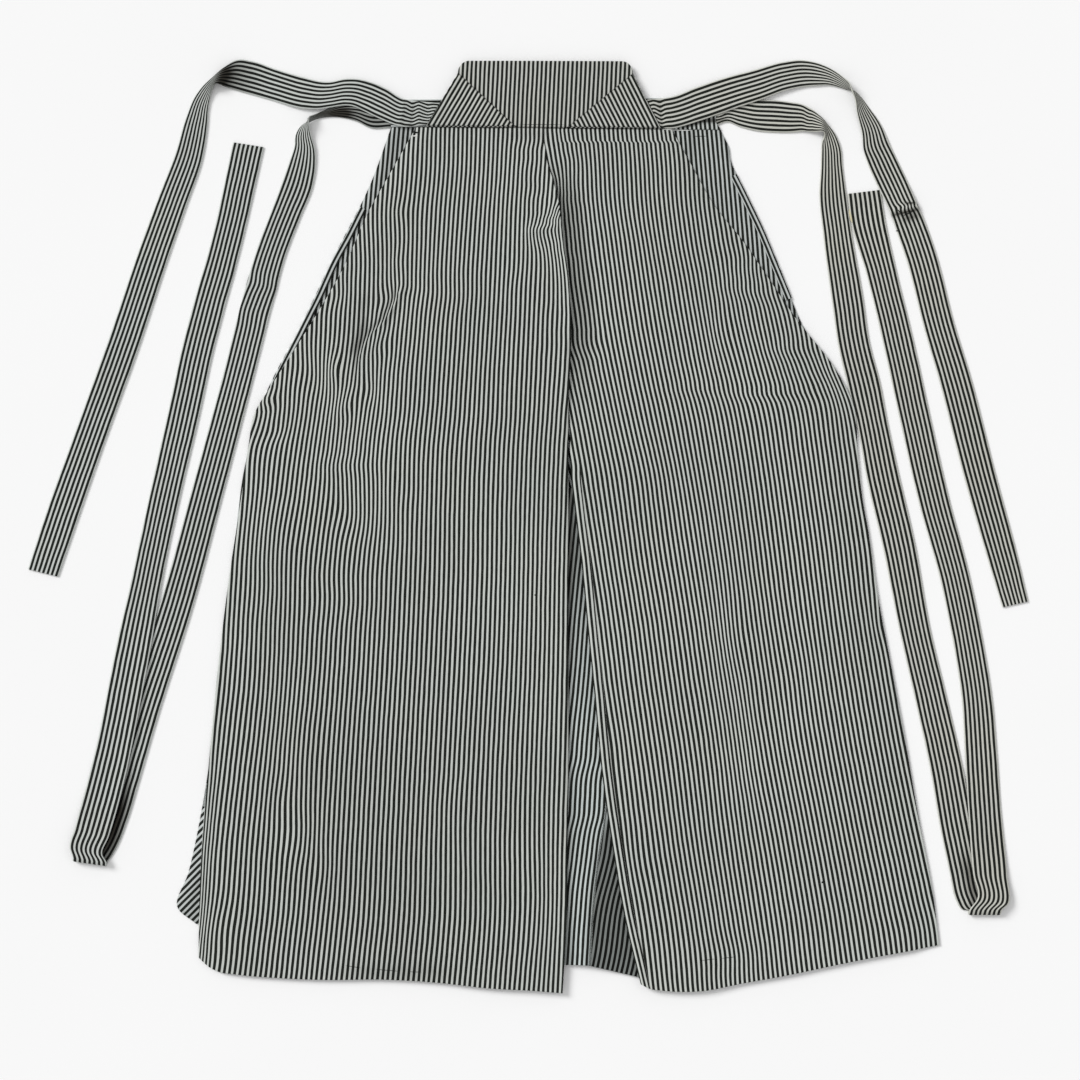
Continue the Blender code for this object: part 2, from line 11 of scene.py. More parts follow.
import bpy
import numpy as np
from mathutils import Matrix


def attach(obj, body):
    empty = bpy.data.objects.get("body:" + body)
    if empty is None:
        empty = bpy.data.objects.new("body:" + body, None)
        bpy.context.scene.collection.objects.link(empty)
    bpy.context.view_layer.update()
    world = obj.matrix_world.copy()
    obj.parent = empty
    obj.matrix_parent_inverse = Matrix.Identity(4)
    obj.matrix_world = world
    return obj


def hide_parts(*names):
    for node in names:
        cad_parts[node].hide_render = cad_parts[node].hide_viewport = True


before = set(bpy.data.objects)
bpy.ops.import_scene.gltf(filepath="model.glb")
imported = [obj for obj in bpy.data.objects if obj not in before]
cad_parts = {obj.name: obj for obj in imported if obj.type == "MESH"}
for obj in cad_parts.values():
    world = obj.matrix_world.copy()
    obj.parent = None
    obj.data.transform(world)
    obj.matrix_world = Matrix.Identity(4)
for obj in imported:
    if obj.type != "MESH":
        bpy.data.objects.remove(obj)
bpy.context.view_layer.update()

MM = 0.001

# ---- Walls, gaps and heights of the layers, as in the solids.
CLOTH = 1.0
TIE_CLOTH = 1.6
BAND_CLOTH = 2.2
BOARD = 3.6
GAP = 0.4
SEAM = 0.3
SEAM_REACH = 0.45  # how far a panel's top edge runs in under the board's lower edge
LAYER = CLOTH + GAP
FRONT_Z = CLOTH / 2
UNDERLAY_Z = FRONT_Z + 2 * LAYER + CLOTH + GAP
BACK_Z = UNDERLAY_Z
OVER_UNDERLAY_Z = UNDERLAY_Z + LAYER
FACING_Z = FRONT_Z + LAYER
BOARD_BOTTOM = BAND_CLOTH + GAP
FLAP_BOTTOM = BOARD_BOTTOM + BOARD + GAP
WAIST_Y = 418.4
WAIST_SLOPE = -0.0085

PITCH = 4.9  # mm from one stripe to the next, for lengths along the cloth


def rows_of(kind, rows):
    """A table whose rows are named tuples of one kind."""
    return [kind(*row) for row in rows]


# ---- Back panels: cross lines from the centre back fold to the slit edge or side seam.
BackRow = namedtuple("BackRow", "fold_x fold_y side_x side_y side_z fold_lift")
StripeRow = namedtuple("StripeRow", "at_fold at_20 at_40 at_60 at_80 at_side")

BACK_LEFT = rows_of(BackRow, [
    (16, 417.9, -118, 419.0, 2.6, 0.0),
    (26, 370, -145, 371, 2.6, 0.2),
    (31, 332, -166, 334, 2.6, 1.6),
    (41, 266, -195, 270, 2.8, 0.6),
    (45, 211, -227, 215, 3.4, 0.3),
    (43, 148, -269, 149, 3.4, 0.2),
    (42, 120, -287, 120, 3.0, 0.2),
    (42, 85, -294, 85, 1.9, 0.2),
    (42, 28, -302, 28, 1.9, 0.4),
    (42, -51, -314, -51, 1.9, 0.6),
    (42, -130, -324, -130, 1.9, 0.6),
    (42, -242, -335, -242, 1.9, 0.8),
    (41, -335, -343, -335, 1.9, 0.8),
    (40, -418, -346, -414, 1.9, 0.6),
    (36, -490, -346.5, -453, 1.9, 0.4),
])
STRIPES_LEFT = rows_of(StripeRow, [
    (111.5, 105.8, 100.1, 94.4, 88.6, 82.7),
    (114.2, 107.0, 99.5, 92.1, 84.8, 77.8),
    (115.6, 107.5, 98.9, 90.5, 82.2, 73.9),
    (119.2, 108.4, 98.6, 88.4, 77.6, 67.4),
    (119.6, 108.4, 96.9, 85.3, 72.7, 61.5),
    (119.7, 107.0, 94.0, 81.0, 66.8, 53.3),
    (120.0, 106.3, 92.8, 79.0, 64.0, 49.9),
    (120.5, 106.5, 92.9, 79.0, 63.8, 50.7),
    (121.0, 106.6, 92.7, 78.1, 63.9, 50.0),
    (121.5, 106.4, 92.1, 77.9, 63.8, 49.0),
    (121.7, 106.5, 92.0, 77.4, 62.8, 47.9),
    (122.2, 107.2, 92.3, 77.6, 62.7, 48.0),
    (122.6, 107.3, 92.4, 77.6, 62.9, 48.6),
    (122.8, 107.1, 92.6, 78.1, 63.5, 49.2),
    (122.6, 107.5, 93.2, 79.0, 64.6, 50.5),
])
BACK_RIGHT = rows_of(BackRow, [
    (12, 417.8, 151, 416.6, 2.6, -1.4),
    (18, 387, 170, 382, 2.6, -1.4),
    (26, 343, 197, 335, 2.6, -1.4),
    (30, 301, 226, 299, 2.8, -1.4),
    (36, 259, 252, 261, 3.4, -1.4),
    (38, 211, 282, 217, 3.4, -1.4),
    (38, 154, 322, 166, 3.0, -1.4),
    (43.5, 112, 341.8, 127.5, 1.9, -1.4),
    (44.5, 64, 346.2, 80, 1.9, 0.0),
    (49, 17, 350.6, 33, 1.9, 0.4),
    (55, -30, 358, -9, 1.9, 0.6),
    (62, -104, 368, -77, 1.9, 0.6),
    (69, -172, 380, -140, 1.9, 0.8),
    (77, -256, 395, -219, 1.9, 0.8),
    (89, -340, 409, -300, 1.9, 0.8),
    (104, -424, 425, -385, 1.9, 0.6),
    (118, -480.5, 432, -440, 1.9, 0.4),
])
STRIPES_RIGHT = rows_of(StripeRow, [
    (122.7, 128.7, 134.6, 140.5, 146.6, 152.8),
    (123.2, 129.8, 136.4, 142.9, 149.5, 155.9),
    (124.0, 131.8, 139.2, 146.5, 153.8, 161.0),
    (124.4, 132.7, 141.0, 149.5, 157.8, 166.0),
    (124.8, 133.7, 142.7, 151.8, 161.1, 171.1),
    (123.9, 133.9, 143.9, 154.1, 164.8, 175.1),
    (121.6, 133.4, 145.0, 156.9, 168.7, 181.4),
    (120.9, 133.3, 145.4, 157.7, 169.6, 182.3),
    (119.4, 131.6, 144.1, 156.6, 168.9, 181.2),
    (118.9, 131.0, 143.3, 156.1, 168.4, 180.8),
    (118.5, 131.0, 143.2, 156.3, 168.6, 181.0),
    (117.8, 130.2, 142.6, 156.2, 168.7, 181.4),
    (117.6, 130.0, 142.6, 156.3, 169.1, 181.7),
    (117.2, 129.4, 142.3, 156.3, 169.2, 181.9),
    (117.0, 129.7, 142.7, 155.8, 168.8, 181.4),
    (117.7, 130.0, 143.2, 155.9, 168.5, 180.9),
    (118.9, 131.0, 143.8, 156.1, 168.2, 180.4),
])

# Shares of a cross line, and how far each hem sags there below its straight cross line.
HemShare = namedtuple("HemShare", "share left_sag right_sag")
HEM = rows_of(HemShare, [
    (0.0, 0.0, 0.0),
    (0.03, 0.2, 6.0),
    (0.07, 0.4, 9.5),
    (0.2, 2.5, 15.6),
    (0.34, 2.0, 13.3),
    (0.5, 4.4, 10.8),
    (0.64, 10.0, 7.1),
    (0.78, 13.2, 3.9),
    (0.9, 13.8, 2.0),
    (0.945, 12.8, 1.0),
    (0.975, 8.0, 0.4),
    (1.0, 0.0, 0.0),
])
# Shares of a cross line between which a back panel steps down from over the underlay to its side.
LEVEL_SHARES = (0.0, 0.2, 0.34, 0.9, 1.0)
SIDE_CROWD = 17.0  # mm in from the left panel's side edge where its stripes crowd together

# Spacing of the mesh rows, fine in the upper part and coarse below, and columns away from the fold.
PANEL_MESH = {"left": (1.6, 5.0, 92), "right": (1.7, 4.5, 60)}
FINE_DOWN_TO = 200.0  # Y
NEAR_FOLD = 0.33  # share of a cross line with close columns

Swell = namedtuple("Swell", "x y reach_x reach_y height")
SWELLS = rows_of(Swell, [
    (-70, 250, 90, 150, 1.6),
    (-130, -40, 110, 190, 2.4),
    (-235, -260, 90, 170, 2.0),
    (-40, -330, 80, 150, 1.6),
    (130, 270, 80, 140, 1.8),
    (190, -60, 100, 200, 2.2),
    (310, 10, 60, 150, 1.6),
    (300, -290, 90, 150, 2.2),
])

# Soft creases: middle, heading of the run, half length and half width, rise, and how many counts the
# stripes are pulled aside there.
Crease = namedtuple("Crease", "x y heading reach width rise pull")
CREASES_LEFT = rows_of(Crease, [
    (-133, 249, 78, 17, 3.2, 1.1, 0.0),
    (-146, 222, 60, 17, 3.0, 1.4, 0.0),
    (-160, 196, 55, 17, 3.4, 1.3, 0.0),
    (-182, 205, 65, 15, 5.0, -0.8, 0.0),
    (-156, 190, 50, 18, 9, 0.5, 0.6),
    (-148, 238, 60, 14, 10, -0.4, -0.6),
    (-135, 278, 80, 14, 10, 0.5, 0.35),
    (-135, 330, 80, 12, 10, 0.3, 0.25),
    (-203, 243, 60, 14, 12, -0.5, -0.45),
    (-93, 243, 0, 42, 18, 0.6, -0.35),
    (-203, 166, 90, 16, 7, 1.0, 0.7),
    (-192, 127, 60, 17, 9, 0.9, 0.65),
    (-227, 156, 120, 28, 14, -0.9, -0.65),
    (-166, 143, 90, 14, 8, -0.7, -0.5),
    (-274, 133, 30, 12, 8, 0.8, 0.8),
    (-266, 99, 20, 16, 10, -0.6, -0.4),
    (-192, 64, 0, 30, 10, 0.7, 0.35),
    (-140, 28, 110, 35, 15, 0.8, 0.35),
    (-187, 12, 120, 28, 17, -0.9, -0.55),
    (-261, -9, 100, 36, 22, 1.0, 0.45),
    (-282, -67, 90, 25, 22, -0.6, -0.35),
    (-206, -80, 0, 40, 22, 1.0, -0.45),
    (-282, -182, 90, 70, 25, 0.9, -0.4),
    (-234, -230, 90, 45, 22, 0.8, 0.3),
    (-240, -326, 90, 30, 18, 0.8, -0.6),
    (-216, -362, 90, 24, 10, 0.5, -0.4),
    (-262, -290, 90, 20, 12, -0.5, 0.3),
    (-75, -298, 90, 35, 20, 0.8, 0.25),
    (7, -392, 90, 70, 20, 1.0, -0.45),
    (-324, -419, 70, 25, 18, 0.6, 0.5),
    (-14, 248, 90, 20, 15, 0.5, 0.2),
])
CREASES_RIGHT = rows_of(Crease, [
    (222, 282, 0, 20, 12, -0.6, -0.4),
    (233, 246, -10, 32, 9, 0.9, 0.45),
    (203, 201, 100, 28, 13, 1.0, 0.5),
    (275, 185, 0, 22, 9, 0.9, 0.45),
    (312, 143, 110, 34, 15, -0.9, -0.6),
    (254, 139, 2, 42, 6.5, 0.8, 0.45),
    (180, 143, 0, 34, 6.5, 0.6, 0.22),
    (128, 54, 90, 30, 30, 0.6, -0.3),
    (217, -119, 97, 42, 15, 1.3, 0.65),
    (236, -190, 97, 34, 12, 0.9, 0.3),
    (240, -256, 97, 50, 17, 0.9, 0.38),
    (280, -151, 97, 40, 20, -0.7, -0.3),
    (191, -203, 97, 60, 18, -0.6, -0.25),
    (112, -350, 100, 42, 18, 0.9, 0.45),
    (91, -224, 97, 35, 14, -0.6, -0.3),
    (212, -450, 5, 35, 18, -0.6, -0.45),
    (411, -424, 10, 40, 25, -0.6, -0.45),
    (359, -35, 97, 50, 14, -0.5, -0.25),
    (369, -104, 97, 20, 8, 0.8, 0.4),
])

CREASES_TIE_BACK_LEFT = rows_of(Crease, [
    (-130.5, 435, 75, 17, 3.0, 0.8, 0.25),
    (-122, 435, 90, 16, 3.2, -0.4, -0.4),
    (-114.8, 435, 90, 16, 3.0, 0.7, 0.45),
    (-105.3, 434, 90, 16, 3.2, -0.4, -0.4),
])
CREASES_TIE_BACK_RIGHT = rows_of(Crease, [
    (139.3, 432, 95, 18, 3.4, -0.6, -0.5),
    (132, 432, 95, 18, 3.0, 0.6, 0.3),
    (361, 400, 15, 18, 10, 0.5, 0.35),
    (398, 334, 12, 20, 4.0, 1.6, 0.0),
    (393, 336, 12, 8, 3.0, 0.0, -0.5),
    (407, 336, 12, 8, 3.5, 0.0, 0.4),
])
CREASES_TIE_FRONT_LEFT = rows_of(Crease, [
    (-283, 254, -17, 22, 9.0, 0.6, 0.4),
    (-295, 226, -17, 22, 12.0, -0.4, -0.3),
])
CREASES_TIE_FRONT_RIGHT = rows_of(Crease, [
    (202, 431, 0, 6, 3.0, 1.2, -0.6),
    (294, 428.5, 90, 14, 3.5, -0.4, -0.35),
])

# The crisp tuck that runs down and to the left on the left panel.
PINCH = [
    (-133.7, 255.5),
    (-137.9, 237.6),
    (-150.5, 215.6),
    (-164.1, 201.9),
    (-171.5, 191.0),
    (-176.0, 178.0),
    (-178.0, 160.0),
    (-178.0, 140.0),
]
PINCH_RISE = 1.4
PINCH_PULL = 0.62
PINCH_DARK = 0.42
PINCH_ENDS = (14.0, 42.0)  # lengths over which it comes up and fades out

# Painted shade: darker places in recesses, loops, tucks and creases, under ties and beside edges, and a faint
# dimming over the lower left of the back; also a darker strip along the left hem. Middle, heading, half
# length, half width and how dark; strand is 1 on the returned half of a front tie.
Mark = namedtuple("Mark", "x y heading reach width dark strand", defaults=(0,))
MARKS_LEFT = rows_of(Mark, [
    (-178, 199, 70, 21, 4.5, 0.52),
    (-174, 232, 75, 14, 4.0, 0.2),
    (-140, -468, 0, 58, 10, 0.2),
    (-175, -340, 90, 150, 150, 0.07),
    (25, 412, 0, 60, 5, 0.1),
])
MARKS_RIGHT = rows_of(Mark, [
    (205, 386, 60, 40, 14, 0.12),
    (-0.5, 318, 90, 20, 12, 0.1),
])
MARKS_FRONT_LEFT = [Mark(-143, 385, 75, 42, 13, 0.2), Mark(-350, -400, 80, 70, 12, 0.16)]
MARKS_FRONT_RIGHT = [Mark(172, 405, 90, 22, 5, 0.25)]
MARKS_BAND = [Mark(190, 426.2, 2, 14, 2.6, 0.95), Mark(170, 421.8, 14, 10, 2.0, 0.9)]
MARKS_TIE_BACK_LEFT = rows_of(Mark, [
    (-321, 470, -113, 18, 9, 0.8),
    (-307, 467, -106, 22, 17, 0.42),
    (-131, 435, 80, 18, 1.6, 0.25),
    (-122, 431, 80, 18, 2.0, 0.25),
])
MARKS_TIE_BACK_RIGHT = rows_of(Mark, [
    (396, 330.0, 14, 17, 2.0, 0.9),
    (402, 325, 14, 9, 4.0, 0.62),
    (401.5, 339.3, 2, 7, 1.5, 0.75),
    (139, 431, 95, 16, 1.6, 0.3),
])
MARKS_TIE_FRONT_LEFT = rows_of(Mark, [
    (-209, 434, 0, 24, 9, 0.85),
    (-172, 429, -15, 32, 12, 0.5),
    (-440, -306, 73, 50, 13, 0.8),
    (-446, -322, 70, 36, 7.0, 0.95),
    (-431, -318, 74, 40, 5.0, 0.45),
])
MARKS_TIE_FRONT_RIGHT = rows_of(Mark, [
    (200, 426.5, 10, 9, 2.6, 0.6),
    (466, -376, -75, 30, 6.5, 0.62),
])

# The centre back fold in its top part, where the cloth is pinched and creased: the edge of the upper
# fold, and the stripe count on each panel at the edge and 10 and 20 mm in from it.
FoldRow = namedtuple("FoldRow", "y edge_x left_0 left_10 left_20 right_0 right_10 right_20")
FOLD = rows_of(FoldRow, [
    (415, 16.5, 111.6, 109.5, 107.3, 123.8, 125.8, 128.0),
    (404, 16.3, 111.7, 109.5, 107.3, 123.6, 125.5, 127.6),
    (395, 18.3, 112.4, 110.3, 108.1, 123.6, 125.6, 127.8),
    (385, 19.4, 112.8, 110.6, 108.4, 123.4, 125.5, 127.6),
    (374, 22.3, 113.6, 111.4, 109.3, 123.5, 125.7, 128.1),
    (364, 25.8, 114.4, 112.3, 110.2, 123.5, 126.3, 128.9),
    (356, 27.8, 115.0, 112.8, 110.6, 123.8, 126.8, 129.3),
    (350, 29.6, 115.5, 113.3, 111.1, 124.4, 127.2, 129.6),
    (343, 31.2, 115.9, 113.8, 111.7, 125.0, 127.6, 129.9),
    (337, 32.6, 116.7, 114.2, 112.1, 125.3, 127.8, 130.0),
    (332, 33.1, 117.7, 114.6, 112.3, 125.4, 127.8, 130.0),
    (327, 33.6, 118.5, 115.1, 112.5, 125.4, 127.8, 130.0),
    (322, 33.9, 119.1, 115.8, 112.9, 125.5, 127.8, 130.0),
    (316, 34.7, 119.4, 116.2, 113.5, 125.6, 127.8, 130.0),
    (311, 35.2, 119.4, 116.7, 114.2, 125.6, 127.8, 130.0),
    (305, 35.7, 119.4, 116.7, 114.3, 125.6, 127.8, 130.0),
    (297, 36.6, 119.4, 116.5, 114.1, 125.7, 127.8, 130.0),
    (290, 37.4, 119.4, 116.5, 113.9, 125.7, 127.9, 130.0),
    (280, 39.5, 119.5, 116.7, 114.1, 125.9, 128.0, 130.2),
    (269, 41.0, 119.5, 116.8, 114.3, 126.0, 128.1, 130.2),
    (253, 42.7, 119.5, 117.0, 114.7, 126.0, 128.1, 130.1),
    (238, 43.4, 119.4, 117.1, 114.9, 125.7, 127.8, 129.8),
    (222, 44.4, 119.5, 117.3, 115.3, 125.5, 127.5, 129.6),
    (206, 44.8, 119.6, 117.5, 115.5, 125.2, 127.2, 129.3),
])
FOLD_READ_AT = (0.0, 10.0, 20.0)
FOLD_BLEND = 42.0  # the fold's counts have come back to the broad chart this far in
FOLD_REACH = 70.0
FOLD_BEYOND = 30.0  # how far past the edge the first count holds
FOLD_FADE = (172.0, 200.0)  # heights over which the fold's own table takes over
LOWER_FOLD = ((-490, 38), (-400, 40), (60, 44), (206, 44.8))  # (Y, X) of the fold below its table
NOTCH = ((29.0, 356.0), (18.0, 326.0))  # the small tuck that ends on the fold

# ---- The underlay of the centre back pleat.
UnderlayRow = namedtuple("UnderlayRow", "left_x left_y crease_x crease_y right_x right_y proud")
UNDERLAY = rows_of(UnderlayRow, [
    (-8, 40, 52, 40, 88, 40, 0.0),
    (-18, -30, 60, -30, 105, -30, 0.0),
    (-20, -140, 74, -140, 122, -140, 0.0),
    (-20, -250, 84, -250, 130, -250, 0.0),
    (-20, -300, 80, -300, 134, -300, 0.4),
    (-20, -350, 72.5, -350, 139, -350, 0.8),
    (-20, -400, 67, -400, 146, -400, 0.9),
    (-20, -459, 63, -461, 158, -484, 0.9),
])
UNDERLAY_SINK = 2.6
# Where one light stripe of the underlay runs, and the pitch there.
GrainRow = namedtuple("GrainRow", "y x pitch")
UNDERLAY_GRAIN = rows_of(GrainRow, [
    (40, 107.5, 4.73),
    (-35, 99.8, 4.73),
    (-98, 93.7, 4.73),
    (-161, 89.6, 4.85),
    (-224, 84.1, 4.99),
    (-245, 82.5, 5.02),
    (-262, 78.9, 5.05),
    (-287, 77.4, 5.1),
    (-304, 76.0, 5.05),
    (-319, 72.4, 5.0),
    (-350, 68.0, 4.94),
    (-382, 64.1, 4.94),
    (-413, 61.5, 4.96),
    (-445, 59.5, 5.04),
    (-480, 57.5, 5.04),
])

# ---- The rolled strip beside the right panel's fold, whose stripes follow the edge.
ROLL_SHARE = 0.0318
ROLL_FIRST = 120
ROLL_INSET = 2.4
ROLL_PITCH = 4.83

# ---- Front panels, face down, with their knife pleats folded up behind them.
FrontRow = namedtuple("FrontRow", "centre_x centre_y side_x side_y")
FRONT_LEFT = rows_of(FrontRow, [
    (20, 418.4, -144, 419.8),
    (21, 362, -165, 362),
    (23, 280, -206, 280),
    (25, 207, -241, 207),
    (28, 139, -276, 139),
    (30, 85, -293, 85),
    (40, -51, -312, -51),
    (52, -170, -326, -170),
    (64, -285, -341, -285),
    (71, -363, -357, -363),
    (75, -415, -369, -400),
    (79, -455, -349, -418),
])
FRONT_RIGHT = rows_of(FrontRow, [
    (20.3, 418.4, 202, 416.9),
    (20.5, 409, 206.5, 407.5),
    (20.7, 402, 210.5, 400),
    (20.9, 386, 213, 384),
    (21.3, 362, 223, 362),
    (23.3, 280, 261, 280),
    (25.3, 207, 288, 212),
    (28.3, 139, 320, 163),
    (31.3, 85, 342, 110),
    (35.3, 17, 349.5, 35),
    (40.3, -51, 360, -30),
    (52.3, -170, 379, -150),
    (64.3, -285, 401, -265),
    (71.3, -363, 414, -343),
    (79.3, -455, 426, -424),
])
Pleat = namedtuple("Pleat", "waist hem waist_depth hem_depth")
PLEATS_LEFT = [Pleat(30, 110, 22, 60), Pleat(62, 215, 22, 60)]
PLEATS_RIGHT = [Pleat(28, 82, 20, 50), Pleat(58, 160, 20, 50), Pleat(88, 235, 20, 50)]
PLEAT_EASE = 3.0
PLEAT_FALL = 13.0
FRONT_PITCH = 4.7
PEEK_X = -329.0  # left of this and below PEEK_Y the left front shows past the back panel
PEEK_Y = -270.0
PEEK_LEAN = 45.0
PEEK_PITCH = 5.05

# ---- Slit facings.
FACING_WIDTH = 7.0
FACING_COUNTS = 1.6  # stripe counts across it
FacingRow = namedtuple("FacingRow", "edge_x edge_y inward")
FACING_LEFT = rows_of(FacingRow, [
    (-176.6, 336, -26),
    (-190.2, 309, -26),
    (-206.0, 280, -25),
    (-222.0, 245, -25),
    (-241.0, 207, -27),
    (-262.0, 166, -27),
    (-270.0, 150, -27),
])
FACING_RIGHT = rows_of(FacingRow, [
    (219.0, 370, -154),
    (233.0, 342, -154),
    (246.4, 314, -154),
    (260.6, 280, -156),
    (277.0, 240, -158),
])

# ---- Waistband, board and flaps.
BAND_LEFT = -144.2
BAND_RIGHT = 197.1
BAND_TOP_LEFT = 448.5
BAND_TOP_RIGHT = 450.5
BAND_HEIGHT = 32.0
BAND_FLARE = 4.4  # how far its foot runs out past its right end
BOARD_BASE_LEFT = -107.4
BOARD_BASE_RIGHT = 139.3
BOARD_SHOULDER_LEFT = (-73.8, 476.0)
BOARD_SHOULDER_RIGHT = (109.9, 475.4)
BOARD_TOP_LEFT = (-62.0, 488.6)
BOARD_TOP_RIGHT = (98.6, 488.6)
FLAP_FOOT_LEFT = -13.4
FLAP_FOOT_RIGHT = 41.7
FLAP_INSET = 0.6
FLAP_FIRST = 0.3  # stripe count where a flap's stripes start
BOARD_WIDE = 240.0
BOARD_SPAN = 246.0
BOARD_CROWN = 0.35  # how far the board's cover rises at its middle

# ---- Ties: middle, direction from edge a to edge b, width, and each edge's lift off the surface.
Section = namedtuple("Section", "x y across wide lift_a lift_b", defaults=(0.0, 0.0))
LOOP_RADIUS = 3.0
LOOP_STEPS = (45.0, 90.0, 135.0)

TIE_BACK_LEFT = rows_of(Section, [
    (-99.9, 433, -120.6, 26, 3.6, 3.6),
    (-116, 433, -105, 27, 3.6, 3.6),
    (-131, 434, -95, 29, 3.4, 3.4),
    (-155, 445, -106, 32, 2.8, 2.8),
    (-170, 451.8, -104, 31, 2.6, 2.4),
    (-182, 455.5, -99, 29, 2.9, 2.4),
    (-192, 456, -92, 28, 2.7, 2.4),
    (-208, 453.5, -87, 27, 2.2, 2.4),
    (-220, 452.8, -92, 29.5, 2.0, 2.3),
    (-233, 454.5, -95, 32, 1.8, 2.2),
    (-267, 464, -97, 33, 0.4, 0.4),
    (-293, 472, -100, 34, 0.4, 0.4),
    (-311, 475, -106, 30, 3.0, 1.6),
    (-324, 472, -113, 18, 6.0, 8.0),
    (-331, 466, -95, 14, 1.6, 4.0),
    (-337, 458, -66, 15, 0.8, 1.6),
    (-343, 446, -42, 19, 0.4, 0.6),
    (-348, 427, -22, 24, 0.0, 0.2),
    (-356, 391, -17, 29),
    (-373, 344, -17, 31),
    (-390, 297, -18, 32),
    (-426, 190, -19, 33),
    (-461, 93, -19, 33),
    (-490, 11, -18, 34),
    (-510, -49, -14, 33),
])
TIE_BACK_RIGHT = rows_of(Section, [
    (131.9, 433, -63.4, 33, 3.6, 3.6),
    (149, 434, -84, 33, 3.6, 3.6),
    (180, 444, -80, 35, 3.0, 3.0),
    (212, 455, -77, 34, 2.6, 2.6),
    (242, 464, -77, 32, 2.6, 2.6),
    (270, 473, -80, 30, 1.4, 2.0),
    (291, 476, -83, 28, 0.4, 0.8),
    (304, 475, -90, 24, 0.8, 0.8),
    (317, 472, -98, 17, 3.0, 0.6),
    (329, 466, -108, 10, 7.0, 0.4),
    (335.5, 461.5, -120, 5, 11.0, 0.0),
    (340.5, 457, 30, 3, 10.0, 0.0),
    (345.5, 450.5, 26, 7, 7.0, 0.0),
    (351, 438, 28, 14, 4.0, 0.0),
    (360, 419, 24, 22, 1.4, 0.0),
    (367.8, 394, 15, 29),
    (382, 362, 16, 31),
    (393, 337, 14, 30, 2.0, 2.0),
    (403, 313, 12, 32),
    (412, 287, 13, 32),
    (433, 207, 13, 32),
    (448, 157, 12, 33),
    (474, 56, 11, 33),
    (499, -34, 13, 31),
    (512, -82, 13, 28),
])
TIE_FRONT_LEFT_OUT = rows_of(Section, [
    (-144.5, 434, -90, 30),
    (-165, 434, -92, 31),
    (-181, 438, -91, 24),
    (-198, 438, -90, 16),
    (-213, 434, -90, 8, 0.2, 0.0),
    (-224, 430, -92, 5, 3.0, 0.0),
    (-231, 426, -110, 4, 9.0, 0.0),
    (-234, 420, 166, 9, 6.0, 0.0),
    (-236, 411, 169, 17, 3.0, 0.0),
    (-235, 398, 171, 22, 1.6, 0.0),
    (-237, 382, 168, 28, 0.6, 0.0),
    (-242, 361, 164, 32),
    (-254, 330, 162, 31),
    (-270, 288, 161, 31),
    (-281, 250, 163, 32),
    (-305, 157, 165, 32),
    (-336, 41, 165, 33),
    (-370, -84, 165, 34),
    (-405, -192, 163, 35),
    (-426, -264, 163, 35),
    (-438, -304, 163, 35),
    (-450, -335, 165, 34),
    (-456, -344.5, 167, 35),
    (-460, -351, 172, 36),
])
TIE_FRONT_LEFT_BACK = rows_of(Section, [
    (-460, -351, 172, 36, 6.0, 6.0),
    (-464, -341, 168, 35, 6.0, 5.6),
    (-458, -321, 166, 37, 5.6, 3.8),
    (-444, -270, 163, 38, 4.8, 1.0),
    (-433, -222, 164, 37, 4.2, 0.4),
    (-423, -170, 165, 37, 3.6, 0.0),
    (-413, -118, 166, 36, 2.6, 0.0),
    (-405, -77, 169, 33, 0.8, 0.0),
    (-382, 32, 169, 32),
    (-362, 119, 166, 33),
    (-346, 192, 167, 33),
    (-334, 237, 167, 33),
    (-319, 291, 168, 32),
    (-294, 401, 171, 33),
])
TIE_FRONT_RIGHT_OUT = rows_of(Section, [
    (197.4, 435, -90, 28),
    (208, 437, -89, 24),
    (222, 435, -90, 30),
    (240, 432, -90, 33),
    (259, 431, -90, 34),
    (275, 430, -89, 32, 0.4, 0.4),
    (289, 429, -88, 28, 2.0, 1.0),
    (301, 425, -87, 22, 4.0, 4.0),
    (309, 421, -86, 15, 5.0, 8.0),
    (312.5, 417, -100, 13, 1.6, 3.0),
    (315, 409.5, -140, 16, 0.8, 1.0),
    (318, 397, -165, 20.5, 0.4, 0.4),
    (319, 378, -172, 23),
    (320, 351, -176, 28),
    (325, 308, -174, 30),
    (336, 236, -173, 33),
    (342, 194, -173, 33),
    (353.6, 146, -170, 34),
    (362.6, 104, -168, 32),
    (372, 56, -167, 34),
    (389.5, -19, -167, 34),
    (407, -111, -169, 32),
    (424, -184, -169, 33),
    (440, -256, -167, 34),
    (449, -307, -167, 35),
    (460, -360, -166, 35),
    (467, -390, -168, 35),
    (473, -400.5, -172, 35),
    (479, -404.5, 180, 34),
])
TIE_FRONT_RIGHT_BACK = rows_of(Section, [
    (479, -404.5, 180, 34, 6.0, 6.0),
    (487.5, -393.5, 172, 33.5, 5.6, 6.0),
    (485, -366, 178, 36, 2.4, 5.4),
    (480, -304, -177, 35, 0.0, 3.2),
    (476, -241, -174, 34, 0.0, 0.6),
    (472, -184, -172, 32),
    (461, -114, -171, 31),
    (449, -56, -171, 31),
    (426, 29, -171, 32),
    (409, 103, -172, 32),
    (389, 194, -174, 32),
    (370, 272, -175, 32),
    (357.5, 320, -174, 36),
    (353, 351.5, -173, 35),
])
